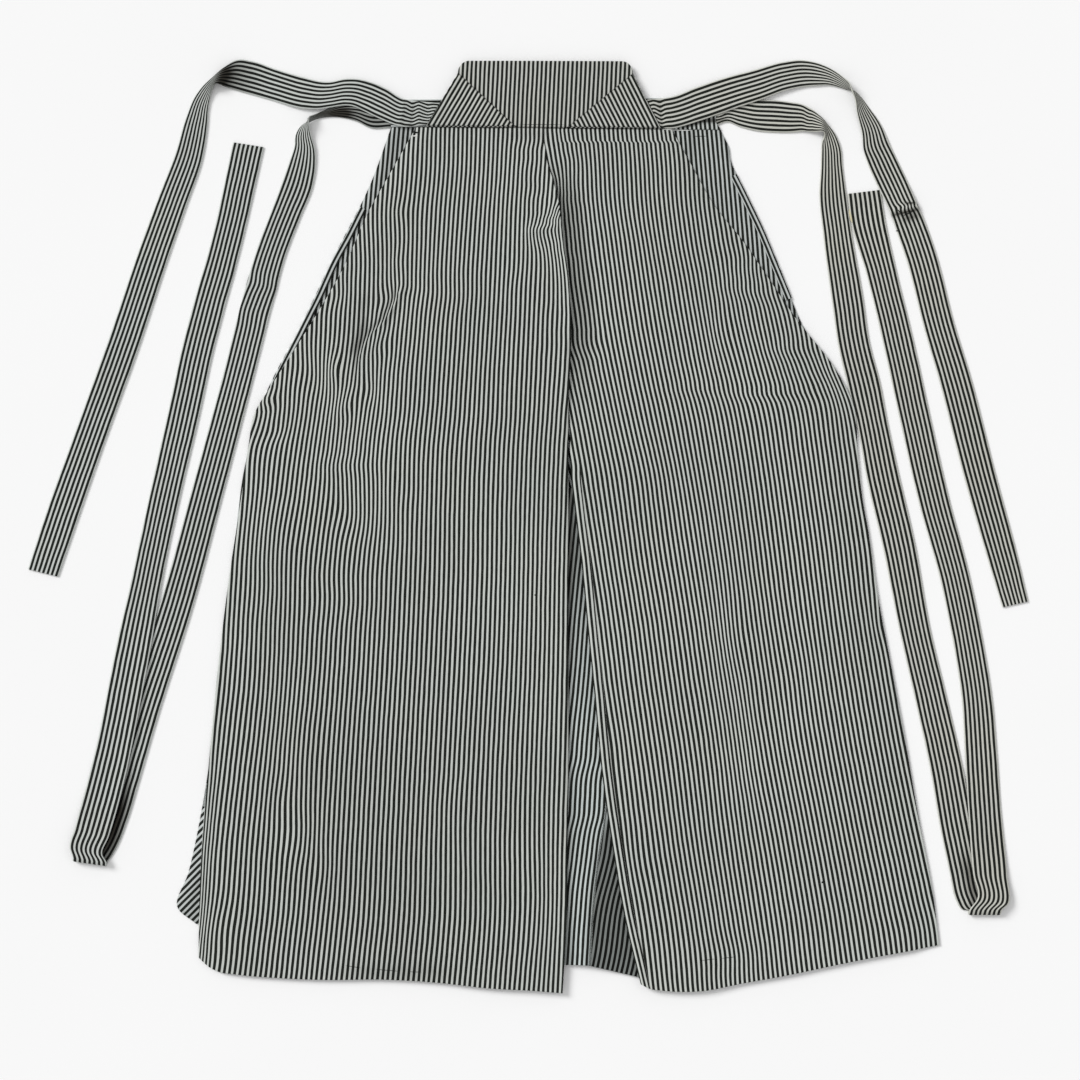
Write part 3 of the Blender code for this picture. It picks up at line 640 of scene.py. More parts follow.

# ---- Threads, tacks and specks that lie on the cloth: both ends, half width, half height and tone.
# The dark strips along the pucker of the right back tie and in the gap by the left tack are painted shadow.
Thread = namedtuple("Thread", "name x0 y0 x1 y1 wide high tone")
THREADS = rows_of(Thread, [
    ("tack_bar", 141.5, 416.6, 172, 416.2, 0.5, 0.35, "white"),
    ("tack_right", 173, 409.9, 188, 410.1, 0.3, 0.12, "dark"),
    ("tack_left", -121.5, 409.9, -116, 409.9, 0.6, 0.4, "white"),
    # Painted shadow: a dark strip in the gap beside the left tack.
    ("tack_left_gap", -121.5, 413.4, -115.5, 413.4, 1.0, 0.15, "dark"),
    ("flap_foot_left", -14.6, 420.0, -11.6, 419.4, 0.7, 0.2, "dark"),
    ("flap_foot_right", 40.2, 418.4, 43.2, 418.7, 0.7, 0.2, "dark"),
    ("base_stitches", -10, 421.6, 38, 421.2, 0.22, 0.1, "dark"),
    ("hem_stitch_1", -192, -461.0, -176, -463.5, 0.28, 0.12, "dark"),
    ("hem_stitch_2", -160, -465.0, -136, -467.0, 0.28, 0.12, "dark"),
    ("hem_stitch_3", -125, -467.5, -112, -468.0, 0.28, 0.12, "dark"),
    ("hem_stitch_4", 182, -455.5, 196, -454.0, 0.28, 0.12, "dark"),
    ("hem_stitch_5", 203, -453.5, 217, -452.0, 0.28, 0.12, "dark"),
    ("speck_right", 308.0, -374.5, 309.0, -372.5, 0.8, 0.2, "dark"),
    ("speck_left", 7.0, -72.8, 7.2, -71.4, 0.7, 0.2, "dark"),
    ("tie_nick_1", 366.9, 361.0, 368.6, 359.8, 0.7, 0.3, "dark"),
    ("tie_nick_2", 378.4, 348.8, 380.4, 347.4, 0.8, 0.3, "dark"),
    ("tie_nick_3", 386.6, 310.8, 388.4, 310.4, 0.7, 0.3, "dark"),
    ("tie_stitch", -354.5, 373.5, -351.0, 372.0, 0.35, 0.2, "dark"),
    # Painted shadow: dark strips along the lips of the pucker in the right back tie.
    ("pucker_top", 395.5, 339.6, 406.5, 339.4, 0.4, 0.2, "dark"),
    ("pucker_lip_1", 385.5, 334.4, 394, 326.2, 0.45, 0.2, "dark"),
    ("pucker_lip_2", 394, 326.2, 404, 331, 0.5, 0.2, "dark"),
    ("tie_stain", 337.6, 333.5, 340.4, 319.0, 1.5, 0.1, "tan"),
])

# ---- Camera and light.
LENS = 85.0
SENSOR = 36.0
VIEW_WIDTH = 1.134
VIEW_AT = (0.0123, -0.0144, 0.004)
SKY_LIGHT = 0.60
KEY_LIGHT = 0.40
KEY_TILT = math.radians(56)
KEY_TURN = math.radians(-35)


# ---------------------------------------------------------------- curves through tables
def smooth(knots, values, at):
    """Cubic curve through the rows of a table, read at any places along it."""
    knots = np.asarray(knots, float)
    values = np.asarray(values, float)
    flat = values.reshape(len(knots), -1)
    step = np.diff(knots)[:, None]
    slope = np.diff(flat, axis=0) / step
    tangent = np.empty_like(flat)
    tangent[1:-1] = (slope[:-1] * step[1:] + slope[1:] * step[:-1]) / (step[1:] + step[:-1])
    tangent[0] = slope[0]
    tangent[-1] = slope[-1]
    at = np.asarray(at, float)
    index = np.clip(np.searchsorted(knots, at, side="right") - 1, 0, len(knots) - 2)
    width = step[index]
    part = ((at - knots[index]) / step[index, 0])[:, None]
    square, cube = part**2, part**3
    read = (
        flat[index] * (2 * cube - 3 * square + 1)
        + tangent[index] * width * (cube - 2 * square + part)
        + flat[index + 1] * (3 * square - 2 * cube)
        + tangent[index + 1] * width * (cube - square)
    )
    return read.reshape(len(at), *values.shape[1:])


def run_of(points):
    """Distance along a row of points, from the first."""
    steps = np.linalg.norm(np.diff(np.asarray(points, float), axis=0), axis=-1)
    return np.concatenate([[0.0], np.cumsum(steps)])


def ramp(value, low, high):
    """0 below low, 1 above high, and smooth between."""
    part = np.clip((value - low) / (high - low), 0, 1)
    return part * part * (3 - 2 * part)


def places(length, spacing, rims=()):
    """Places from 0 to length, evenly spaced, with a few more close to both ends."""
    even = np.linspace(0, length, max(2, int(round(length / spacing)) + 1))
    inner = even[(even > max(rims, default=0)) & (even < length - max(rims, default=0))]
    near = np.array([0.0, *rims])
    return np.concatenate([near, inner, (length - near)[::-1]])


def waist_line(x):
    return WAIST_Y + WAIST_SLOPE * x


# ---------------------------------------------------------------- meshes
def add_mesh(name, points, faces, counts, material):
    """A named object; counts gives each point's stripe count and its place along the cloth."""
    mesh = bpy.data.meshes.new(name)
    points = np.asarray(points, float) * MM
    faces = np.asarray(faces, np.int32)
    mesh.vertices.add(len(points))
    mesh.vertices.foreach_set("co", points.ravel())
    mesh.loops.add(faces.size)
    mesh.loops.foreach_set("vertex_index", faces.ravel())
    mesh.polygons.add(len(faces))
    mesh.polygons.foreach_set("loop_start", np.arange(0, faces.size, faces.shape[1], dtype=np.int32))
    mesh.update(calc_edges=True)
    layer = mesh.uv_layers.new(name="cloth")
    layer.uv.foreach_set("vector", np.asarray(counts, np.float32)[faces.ravel()].ravel())
    mesh.validate()
    mesh.materials.append(material)
    mesh.shade_smooth()
    piece = bpy.data.objects.new(name, mesh)
    bpy.context.scene.collection.objects.link(piece)
    return piece


def wall(name, upper, lower, counts, material):
    """A closed sheet of cloth between two grids of points with the same rows and columns."""
    rows, columns = upper.shape[:2]
    grid = np.arange(rows * columns).reshape(rows, columns)
    half = rows * columns
    quads = np.stack([grid[:-1, :-1], grid[1:, :-1], grid[1:, 1:], grid[:-1, 1:]], axis=-1).reshape(-1, 4)
    rim = np.concatenate([grid[0, :-1], grid[:-1, -1], grid[-1, :0:-1], grid[:0:-1, 0]])
    after = np.roll(rim, -1)
    sides = np.stack([rim, after, after + half, rim + half], axis=-1)
    faces = np.concatenate([quads, quads[:, ::-1] + half, sides])
    points = np.concatenate([upper.reshape(-1, 3), lower.reshape(-1, 3)])
    corner = points[faces[:, 0]]
    volume = 0.0
    for k in (1, 2):
        volume += np.einsum("ij,ij->", corner, np.cross(points[faces[:, k]], points[faces[:, k + 1]]))
    if volume < 0:
        faces = faces[:, ::-1]
    both = np.concatenate([counts.reshape(-1, 2)] * 2)
    return add_mesh(name, points, faces, both, material)


def turned_wall(name, x, y, middle, thickness, turned, counts, material):
    """A level sheet about its middle height, with each face drawn in by `turned` at the folded edges."""
    upper = np.stack([x, y, middle + thickness / 2 - turned], axis=-1)
    lower = np.stack([x, y, middle - thickness / 2 + turned], axis=-1)
    return wall(name, upper, lower, np.stack(counts, axis=-1), material)


def stands_for(piece):
    """The piece replaces the solid of its own name, less the ending, and is attached to the root body."""
    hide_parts(piece.name.removesuffix("_cloth"))
    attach(piece, "root")


# ---------------------------------------------------------------- materials
class Nodes:
    """Short names for building one material's nodes."""

    def __init__(self, name):
        self.material = bpy.data.materials.new(name)
        self.material.use_nodes = True
        self.tree = self.material.node_tree
        self.shader = self.tree.nodes["Principled BSDF"]

    def add(self, kind, **settings):
        node = self.tree.nodes.new(kind)
        for key, value in settings.items():
            setattr(node, key, value)
        return node

    def put(self, socket, value):
        if isinstance(value, bpy.types.NodeSocket):
            self.tree.links.new(value, socket)
        else:
            socket.default_value = value

    def set(self, name, value):
        self.put(self.shader.inputs[name], value)

    def math(self, operation, *values, clamp=False):
        node = self.add("ShaderNodeMath", operation=operation, use_clamp=clamp)
        for socket, value in zip(node.inputs, values):
            self.put(socket, value)
        return node.outputs[0]

    def joined(self, x, y, z=0.0):
        node = self.add("ShaderNodeCombineXYZ")
        for socket, value in zip(node.inputs, (x, y, z)):
            self.put(socket, value)
        return node.outputs[0]

    def noise(self, vector, scale, detail=2.0, rough=0.5, dimensions="3D"):
        node = self.add("ShaderNodeTexNoise", noise_dimensions=dimensions)
        self.put(node.inputs["Vector"], vector)
        node.inputs["Scale"].default_value = scale
        node.inputs["Detail"].default_value = detail
        node.inputs["Roughness"].default_value = rough
        return node.outputs["Fac"]

    def mix(self, share, first, second, blend="MIX"):
        node = self.add("ShaderNodeMix", data_type="RGBA", blend_type=blend)
        self.put(node.inputs[0], share)
        self.put(node.inputs[6], first)
        self.put(node.inputs[7], second)
        return node.outputs[2]

    def band(self, value, low, high, out_low=0.0, out_high=1.0):
        node = self.add("ShaderNodeMapRange", interpolation_type="SMOOTHSTEP")
        for socket, number in zip(node.inputs, (value, low, high, out_low, out_high)):
            self.put(socket, number)
        return node.outputs[0]

    def bump(self, height, strength, distance):
        node = self.add("ShaderNodeBump")
        self.put(node.inputs["Strength"], strength)
        self.put(node.inputs["Distance"], distance)
        self.put(node.inputs["Height"], height)
        self.set("Normal", node.outputs[0])


def linear(red, green, blue):
    """A linear colour from 0 to 255 display values."""
    parts = []
    for value in (red, green, blue):
        share = value / 255
        parts.append(share / 12.92 if share <= 0.04045 else ((share + 0.055) / 1.055) ** 2.4)
    return (*parts, 1.0)


YARNS = 10.0  # warp yarns in one stripe count
DARK_SHARE = 0.28  # half of the dark band's share of a count
STRIPE_WAVER = 0.16
STRIPE_RAGGED = 0.022
WHITE = (1.0, 1.0, 1.0, 1.0)
SHADOW = (0.03, 0.02, 0.008, 1.0)
WEFT_LIFT = (1.9, 1.9, 1.8, 1.0)  # how much paler the dark stripes are where the weft shows
YELLOWING = linear(255, 246, 222)
WEAVE_BUMP = (0.35, 0.00012)
THREAD_BUMP = (0.4, 0.0001)


def striped_cotton(name, light, dark, warm=0.0):
    """Plain-woven cotton whose stripes follow the cloth's own counts."""
    n = Nodes(name)
    split = n.add("ShaderNodeSeparateXYZ")
    n.put(split.inputs[0], n.add("ShaderNodeUVMap", uv_map="cloth").outputs[0])
    count, along = split.outputs[0], split.outputs[1]
    place = n.add("ShaderNodeTexCoord").outputs["Object"]

    def streaks(across, lengthwise, detail, rough):
        """Noise drawn out along the stripes."""
        stretched = n.joined(n.math("MULTIPLY", count, across), n.math("MULTIPLY", along, lengthwise))
        return n.noise(stretched, 1.0, detail, rough, "2D")

    def about_zero(noise, amount):
        return n.math("MULTIPLY", n.math("SUBTRACT", noise, 0.5), amount)

    # The weaver's unevenness: stripes waver a little, and so does the dark band's width.
    wavered = n.math("ADD", count, about_zero(streaks(0.35, 0.16, 2.0, 0.5), STRIPE_WAVER))
    away = n.math("ABSOLUTE", n.math("SUBTRACT", n.math("FRACT", wavered), 0.5))
    edge = n.math("ADD", away, about_zero(streaks(3.0, 1.2, 2.0, 0.6), STRIPE_RAGGED))
    lit = n.band(edge, DARK_SHARE - STRIPE_RAGGED, DARK_SHARE + STRIPE_RAGGED)

    # Yarns: each warp yarn has a tone of its own, with slubs along it, and weft shows in the dark.
    tone = n.add("ShaderNodeTexWhiteNoise", noise_dimensions="1D")
    n.put(tone.inputs["W"], n.math("FLOOR", n.math("MULTIPLY", count, YARNS)))
    slub = streaks(YARNS * 0.5, 0.7, 3.0, 0.6)
    broad = n.noise(place, 5.0, 3.0, 0.55)
    yellow = n.noise(place, 11.0, 2.0, 0.5)
    level = n.math("ADD", 0.93, n.math("MULTIPLY", tone.outputs["Value"], 0.07))
    level = n.math("MULTIPLY", level, n.band(slub, 0.3, 0.7, 0.94, 1.05))
    level = n.math("MULTIPLY", level, n.band(broad, 0.3, 0.7, 0.955, 1.04))
    bright = n.mix(1.0, light, n.joined(level, level, level), "MULTIPLY")
    tint = n.band(yellow, 0.45, 0.75, 0.0, 0.35 + 0.65 * warm)
    yellowed = n.mix(1.0, bright, YELLOWING, "MULTIPLY")
    bright = n.mix(n.math("MULTIPLY", tint, 0.25 + warm), bright, yellowed)
    paler = n.mix(1.0, dark, WEFT_LIFT, "MULTIPLY")
    deep = n.mix(n.band(slub, 0.35, 0.75, 0.0, 0.22), dark, paler)
    colour = n.mix(lit, deep, bright)
    # Painted shade: each point's shade attribute darkens the colour toward a brownish shadow colour.
    dim = n.add("ShaderNodeAttribute", attribute_name="shade").outputs["Fac"]
    n.set("Base Color", n.mix(1.0, colour, n.mix(dim, WHITE, SHADOW), "MULTIPLY"))

    # Weave: warp over weft, with slubs and fuzz.
    warp = n.math("SINE", n.math("MULTIPLY", count, YARNS * 2 * math.pi))
    weft = n.math("SINE", n.math("MULTIPLY", along, YARNS * 2 * math.pi))
    weave = n.math("MULTIPLY", n.math("MULTIPLY", warp, weft), 0.5)
    height = n.math("ADD", weave, n.math("MULTIPLY", slub, 0.8))
    fuzz = n.noise(place, 2600.0, 2.0, 0.6)
    n.bump(n.math("ADD", height, n.math("MULTIPLY", fuzz, 0.5)), *WEAVE_BUMP)

    n.set("Roughness", n.band(slub, 0.2, 0.8, 0.82, 0.94))
    n.set("Specular IOR Level", 0.12)
    n.set("Sheen Weight", 0.03)
    n.set("Sheen Roughness", 0.5)
    return n.material


DARK = linear(27, 30, 26)
BODY = striped_cotton("striped_cotton", linear(200, 204, 199), DARK)
FRONT = striped_cotton("striped_cotton_front", linear(193, 198, 196), DARK)
INNER = striped_cotton("striped_cotton_inner", linear(198, 206, 204), DARK)
BOARD_COTTON = striped_cotton("board_cotton", linear(197, 199, 193), DARK, warm=0.1)
TIE_COTTON = striped_cotton("tie_cotton", linear(198, 199, 192), DARK, warm=0.12)
TIE_COOL = striped_cotton("tie_cotton_left", linear(198, 202, 198), DARK)


def thread_cotton(name, tone, spread):
    """Spun thread: fine turns along it and an uneven tone."""
    n = Nodes(name)
    place = n.add("ShaderNodeTexCoord").outputs["Object"]
    fluff = n.noise(place, 1800.0, 3.0, 0.6)
    deep = (*(spread * part for part in tone[:3]), 1.0)
    n.set("Base Color", n.mix(fluff, deep, tone))
    n.bump(fluff, *THREAD_BUMP)
    n.set("Roughness", 0.85)
    n.set("Specular IOR Level", 0.15)
    return n.material


THREAD_TONES = {
    "white": thread_cotton("white_thread", linear(235, 236, 232), 0.8),
    # The dark tone draws real stitches and specks, and also the painted shadow strips at the pucker and the
    # left tack.
    "dark": thread_cotton("dark_thread", linear(24, 27, 25), 0.5),
    "tan": thread_cotton("yellowed_cotton", linear(206, 199, 168), 0.9),
}


# ---------------------------------------------------------------- pieces
EDGE_RIMS = (0.15, 0.4, 0.8, 1.4)  # mm in from an edge where a panel has extra points
EDGE_ROUND = 1.3
EDGE_DROP = 0.45  # share of the thickness that each face comes in by at an edge
DARKEST = 0.95


def rounded(distance, thickness):
    """How far the top of a folded edge has come down, at a distance in from the edge."""
    part = np.clip(1 - distance / EDGE_ROUND, 0, 1)
    return thickness * EDGE_DROP * (1 - np.sqrt(np.clip(1 - part * part, 0, 1)))


def hill(away, reach):
    """1 at no distance away, and falling smoothly to nothing a few times the reach away."""
    return np.exp(-((away / reach) ** 2))


def swell_height(x, y):
    """Broad swells of the cloth."""
    height = np.zeros_like(x)
    for swell in SWELLS:
        away = ((x - swell.x) / swell.reach_x) ** 2 + ((y - swell.y) / swell.reach_y) ** 2
        height += swell.height * np.clip(1 - away, 0, 1) ** 2
    return height


def fold_edge(y):
    """X of the upper fold's edge at each height, level beyond both ends of its table."""
    rows = np.array(sorted((row.y, row.edge_x) for row in FOLD), float)
    held = np.clip(y, rows[0, 0], rows[-1, 0])
    return smooth(rows[:, 0], rows[:, 1], held.ravel()).reshape(held.shape)


def fold_counts(rows_y, fold_x, wide, line, share, side):
    """How far the counts near the fold differ from the broad chart, for each mesh row."""
    table = np.array(sorted(FOLD), float)
    read = smooth(table[:, 0], table[:, 1:], np.clip(rows_y, table[0, 0], table[-1, 0]))
    near = read[:, 1:4] if side == "left" else read[:, 4:7]
    inward = -1 if side == "left" else 1
    change = np.zeros_like(line)
    x = fold_x[:, None] + share * wide[:, None]
    for row in range(len(line)):
        strength = float(ramp(rows_y[row], *FOLD_FADE))
        if strength == 0:
            continue
        distance = inward * (x[row] - read[row, 0])
        order = np.argsort(distance)
        base = np.interp(FOLD_READ_AT, distance[order], line[row][order])
        shift = near[row] - base
        shift = np.array([shift[0], *shift, 0.0, 0.0])
        knots = np.array([-FOLD_BEYOND, *FOLD_READ_AT, FOLD_BLEND, FOLD_REACH])
        change[row] = strength * smooth(knots, shift, np.clip(distance, -FOLD_BEYOND, FOLD_REACH))
        change[row][distance > FOLD_BLEND] = 0.0
    return change


def from_middle(place, x, y):
    """Distances along and across the heading of a crease or mark, as shares of its reach and width."""
    cosine, sine = math.cos(math.radians(place.heading)), math.sin(math.radians(place.heading))
    along = (x - place.x) * cosine + (y - place.y) * sine
    across = (y - place.y) * cosine - (x - place.x) * sine
    return along / place.reach, across / place.width


def crease_effect(creases, x, y):
    """Rise of the cloth in mm and pull of the stripes in counts, from the soft creases."""
    rise = np.zeros_like(x)
    pull = np.zeros_like(x)
    for crease in creases:
        along, across = from_middle(crease, x, y)
        near = np.exp(-(along**2) - across**2)
        rise += crease.rise * near
        pull += crease.pull * near
    return rise, pull


def marked(marks, x, y, strand=0):
    """How much the marks darken the cloth at each point, mostly with painted shade."""
    dark = np.zeros_like(x)
    for mark in marks:
        along, across = from_middle(mark, x, y)
        dark += mark.dark * np.exp(-(along**4) - across**2) * (strand == mark.strand)
    return np.clip(dark, 0, DARKEST)


def pinch_effect(x, y):
    """Rise, pull and painted shade beside the crisp tuck; its lower right side is pulled to the left."""
    path = np.array(PINCH)
    runs = run_of(path)
    best = np.full(x.shape, 1e9)
    signed, place = np.zeros_like(x), np.zeros_like(x)
    for start, end, run in zip(path[:-1], path[1:], runs):
        step = end - start
        length = np.linalg.norm(step)
        step = step / length
        along = np.clip((x - start[0]) * step[0] + (y - start[1]) * step[1], 0, length)
        off_x, off_y = x - start[0] - along * step[0], y - start[1] - along * step[1]
        away = np.hypot(off_x, off_y)
        nearer = away < best
        best = np.where(nearer, away, best)
        signed = np.where(nearer, away * np.sign(step[0] * off_y - step[1] * off_x), signed)
        place = np.where(nearer, run + along, place)
    window = ramp(place, 0, PINCH_ENDS[0]) * ramp(runs[-1] - place, 0, PINCH_ENDS[1])
    rise = PINCH_RISE * window * hill(signed, 1.9)
    pull = PINCH_PULL * window * np.where(signed > 0, np.exp(-signed / 16.0), np.exp(signed / 2.4))
    return rise, pull, PINCH_DARK * window * hill(signed + 4.0, 3.0)


def fold_height(x, y, side):
    """Extra height near the centre back fold: the upper fold stands up and the lower one dips."""
    low = np.interp(y, *zip(*LOWER_FOLD))
    away = x - np.where(y < LOWER_FOLD[-1][0], low, fold_edge(y))
    if side == "right":
        return -1.3 * hill(away - 12, 14) * ramp(y, 90, 200) * ramp(-y, -400, -350)
    stand = (2.0 * ramp(y, 400, 350) * ramp(y, 40, 200) + 1.2 * hill(y - 318, 14)) * hill(away, 9)
    along = np.array(NOTCH[1]) - np.array(NOTCH[0])
    length = np.linalg.norm(along)
    along /= length
    run = (x - NOTCH[0][0]) * along[0] + (y - NOTCH[0][1]) * along[1]
    off = (x - NOTCH[0][0]) * along[1] - (y - NOTCH[0][1]) * along[0]
    tuck = hill(run - length / 2, 17) * np.where(off > 0, np.exp(-off / 2.4), np.exp(off / 7.0))
    wrinkle = 1.1 * hill(y - 312 - 0.25 * (x - 15), 4.5) * ramp(x, -15, 8)
    return stand + 0.9 * tuck + wrinkle * ramp(-away, 0.5, 4)


def panel_shade(x, y, side):
    """Where little light reaches the cloth: under the board's edge, and beside the centre fold."""
    seam = 0.8 * ramp(y - waist_line(x), -1.3, -0.3) * ramp(x, -116, -112) * ramp(-x, -146, -142)
    if side == "left":
        return seam + 0.26 * ramp(x, 37, 41.5) * ramp(-y, -215, -180)
    away = x - fold_edge(y)
    beside = ramp(away, -6, 3) * ramp(-away, -34, -12)
    return seam + 0.36 * beside * ramp(y, 95, 215) * ramp(-y, -392, -340)


def shade(piece, amount):
    """Marks how much painted shade darkens each point of a sheet's two faces."""
    values = np.concatenate([np.asarray(amount, np.float32).ravel()] * 2)
    mark = piece.data.attributes.new("shade", "FLOAT", "POINT")
    mark.data.foreach_set("value", values)


def panel_places(table, knots, side):
    """Where a back panel has its mesh rows, down its middle, and its mesh columns, as shares."""
    fine, coarse, beyond = PANEL_MESH[side]
    top_end = float(np.interp(-FINE_DOWN_TO, -table[:, 1], knots))
    upper_rows = np.arange(0.0, top_end, fine)
    lower_rows = np.linspace(top_end, knots[-1], int((knots[-1] - top_end) / coarse))
    hem_rows = knots[-1] - np.array([1.2, 0.6, 0.2, 0.0])
    down = np.unique(np.concatenate([[0.0, 0.35, 0.9], upper_rows[1:], lower_rows[:-1], hem_rows]))
    width = float(np.linalg.norm(table[:, 0:2] - table[:, 2:4], axis=1).max())
    rims = np.array(EDGE_RIMS) / width
    near = np.linspace(0, NEAR_FOLD, 64)
    far = np.linspace(NEAR_FOLD, 1.0, beyond)[1:]
    roll = ROLL_SHARE + np.array([-0.0007, 0.0007])
    return down, np.unique(np.concatenate([near, far, rims, 1 - rims, roll]))


def panel_height(table, knots, down, share, side_z):
    """Height of a back panel's middle over the layers under it."""
    over = np.interp(down, knots, np.where(table[:, 5] >= 0, OVER_UNDERLAY_Z, BACK_Z))
    lift = np.interp(down, knots, table[:, 5])
    heights = []
    for fold_lift, over_z, edge_z in zip(lift, over, side_z):
        levels = (OVER_UNDERLAY_Z + fold_lift, over_z, BACK_Z, BACK_Z, edge_z)
        heights.append(np.interp(share, LEVEL_SHARES, levels))
    return np.array(heights)


def right_details(x, y, share, wide, line):
    """Rise and count of the right panel's cross pleat at the top and its rolled strip, with painted shade in
    the groove beside the strip.
    """
    line = line + 0.36 * ramp(y, 402.5, 404.5) * ramp(x, 22, 50)
    rise = 0.35 * hill(y - 403.5, 1.6) * ramp(x, 22, 50)
    rolled = ramp(-y, -68, -50) * (share < ROLL_SHARE)
    line = line + rolled * (ROLL_FIRST + (share * wide - ROLL_INSET) / ROLL_PITCH - line)
    groove = hill((share - ROLL_SHARE) * wide, 0.9) * ramp(-y, -60, -20)
    rise = rise + rolled * 0.4 * np.sin(np.pi * share / ROLL_SHARE) - 0.3 * groove
    return rise, line, 0.5 * groove


def left_details(x, y, share, wide, line):
    """Rise, count and painted shade of the left panel's crisp tuck; its stripes crowd at the side edge."""
    rise, pull, dark = pinch_effect(x, y)
    crowd = np.clip(1 - (1 - share) * wide / SIDE_CROWD, 0, 1) ** 2 * ramp(-y, 200, 330)
    return rise, line + pull - 1.5 * crowd, dark


def back_panel(name, rows, stripes, sags, creases, marks, side):
    table = np.array(rows, float)
    chart = np.array(stripes, float)
    knots = run_of((table[:, 0:2] + table[:, 2:4]) / 2)
    down, share = panel_places(table, knots, side)
    edges = smooth(knots, table, down)
    charted = edges[:, 0].copy()
    if side == "left":
        edges[:, 0] += ramp(edges[:, 1], *FOLD_FADE) * (fold_edge(edges[:, 1]) - edges[:, 0])
    wide_x = edges[:, 2] - edges[:, 0]
    x = edges[:, 0:1] + share * wide_x[:, None]
    y = edges[:, 1:2] + share * (edges[:, 3:4] - edges[:, 1:2])

    read_at = (x - charted[:, None]) / (edges[:, 2] - charted)[:, None]
    columns = np.linspace(0, 1, chart.shape[1])
    line = np.array([smooth(columns, *pair) for pair in zip(smooth(knots, chart, down), read_at)])
    line = line + fold_counts(edges[:, 1], edges[:, 0], wide_x, line, share, side)
    hem = smooth([place.share for place in HEM], sags, share)
    y = y - hem * ramp(down, knots[-2], knots[-1])[:, None] ** 2
    y = y + SEAM_REACH * (1 - ramp(down, 0.0, 3.0))[:, None]

    middle = panel_height(table, knots, down, share, edges[:, 4])
    middle = middle + 4 * share * (1 - share) * swell_height(x, y)
    rise, pull = crease_effect(creases, x, y)
    middle = middle + rise * ramp(y, -484, -440) * ramp(share, 0.0, 0.03) * ramp(1 - share, 0.0, 0.03)
    wide = np.hypot(edges[:, 0] - edges[:, 2], edges[:, 1] - edges[:, 3])[:, None]
    details = left_details if side == "left" else right_details
    rise, line, dark = details(x, y, share, wide, line + pull)
    middle = middle + rise + fold_height(x, y, side)
    # Painted shade under the board's edge, beside the centre fold, from the marks and at the tuck or groove.
    dark = panel_shade(x, y, side) + marked(marks, x, y) + dark

    from_side = np.minimum(share * wide, (1 - share) * wide)
    from_end = np.minimum(down, knots[-1] - down)[:, None]
    turned = rounded(np.minimum(from_side, from_end), CLOTH)
    piece = turned_wall(name, x, y, middle, CLOTH, turned, (line, -y / PITCH), BODY)
    shade(piece, np.clip(dark, 0, DARKEST))
    stands_for(piece)


def lean_count(x, y, lean, pitch):
    """Stripe count of a straight grain whose stripes lean by some degrees to the left going down."""
    angle = math.radians(lean)
    return (x * math.cos(angle) - y * math.sin(angle)) / pitch


def underlay_piece():
    """The underlay of the centre pleat: one sheet, level on the left and turned down past its crease."""
    table = np.array(UNDERLAY, float)
    knots = run_of(table[:, 2:4])
    read = smooth(knots, table, places(knots[-1], 3.0, (0.5,)))
    share = np.concatenate([np.linspace(0, 1, 36), 1 + np.linspace(0, 1, 36)[1:]])
    left, crease, right = read[:, 0:2], read[:, 2:4], read[:, 4:6]
    first, second = np.clip(share, 0, 1), np.clip(share - 1, 0, 1)
    spots = left[:, None] + (crease - left)[:, None] * first[:, None]
    spots = spots + (right - crease)[:, None] * second[:, None]
    x, y = spots[..., 0], spots[..., 1]
    sink = UNDERLAY_SINK * np.clip(-(y + 200) / 120, 0, 1) * ramp(second, 0.02, 0.5)
    waves = 0.4 * np.sin(x / 7.0 + y / 31.0) * ramp(-y, 60, 160) * (share < 1) * ramp(1 - first, 0, 0.1)
    height = UNDERLAY_Z + read[:, 6:7] * hill(share - 1, 0.09) - sink + waves

    turned = share > 1
    grain = np.array(sorted(UNDERLAY_GRAIN))
    held = np.clip(y, grain[0, 0], grain[-1, 0])
    stripe_x, pitch = smooth(grain[:, 0], grain[:, 1:], held.ravel()).T.reshape(2, *y.shape)
    bright = 100 + (x - stripe_x) / pitch
    dim = lean_count(x, y, 11.0, 5.2) + 0.25 * np.sin(y / 17.0)
    counts = (np.where(turned, dim, bright), -y / PITCH)
    piece = turned_wall("centre_pleat_cloth", x, y, height, CLOTH, 0.0, counts, INNER)
    # Painted shade where little light reaches: the part turned down under the right panel's fold, beside the
    # left panel's fold and in the throat.
    dark = np.where(turned, 0.64 * ramp(-y, 275, 330), 0.3 * ramp(share, 0.9, 1.0) * ramp(-y, 300, 350))
    beside_fold = 0.45 * ramp(-x, -49.5, -43)
    throat = 0.4 * ramp(y, -130, -10) + 0.2 * ramp(y, -230, -100)
    shade(piece, np.clip(dark + beside_fold + throat, 0, 0.85))
    stands_for(piece)


def pleated_line(length, down, pleats):
    """(distance, height) of the middle of the cloth along one cross line of a front."""
    turn = LAYER / 2
    levels = [FRONT_Z, FRONT_Z + LAYER, FRONT_Z + 2 * LAYER]
    line = [(0.0, levels[0])]
    for pleat in pleats:
        edge = pleat.waist + down * (pleat.hem - pleat.waist)
        depth = pleat.waist_depth + down * (pleat.hem_depth - pleat.waist_depth)
        inner = edge - depth
        line += [
            (edge - turn, levels[0]),
            (edge, levels[0] + turn),
            (edge - turn, levels[1]),
            (inner + turn, levels[1]),
            (inner, levels[1] + turn),
            (inner + turn, levels[2]),
            (edge + PLEAT_EASE, levels[2]),
            (edge + PLEAT_EASE + PLEAT_FALL, levels[0]),
        ]
    line.append((length, levels[0]))
    return np.array(line)


def offset_line(line, distance):
    """The line moved sideways by a distance, with mitred corners."""
    steps = np.diff(line, axis=0)
    steps /= np.linalg.norm(steps, axis=1)[:, None]
    normals = np.stack([-steps[:, 1], steps[:, 0]], axis=1)
    before = np.concatenate([normals[:1], normals])
    after = np.concatenate([normals, normals[-1:]])
    middle = before + after
    return line + distance * 2 * middle / (middle * middle).sum(axis=1)[:, None]


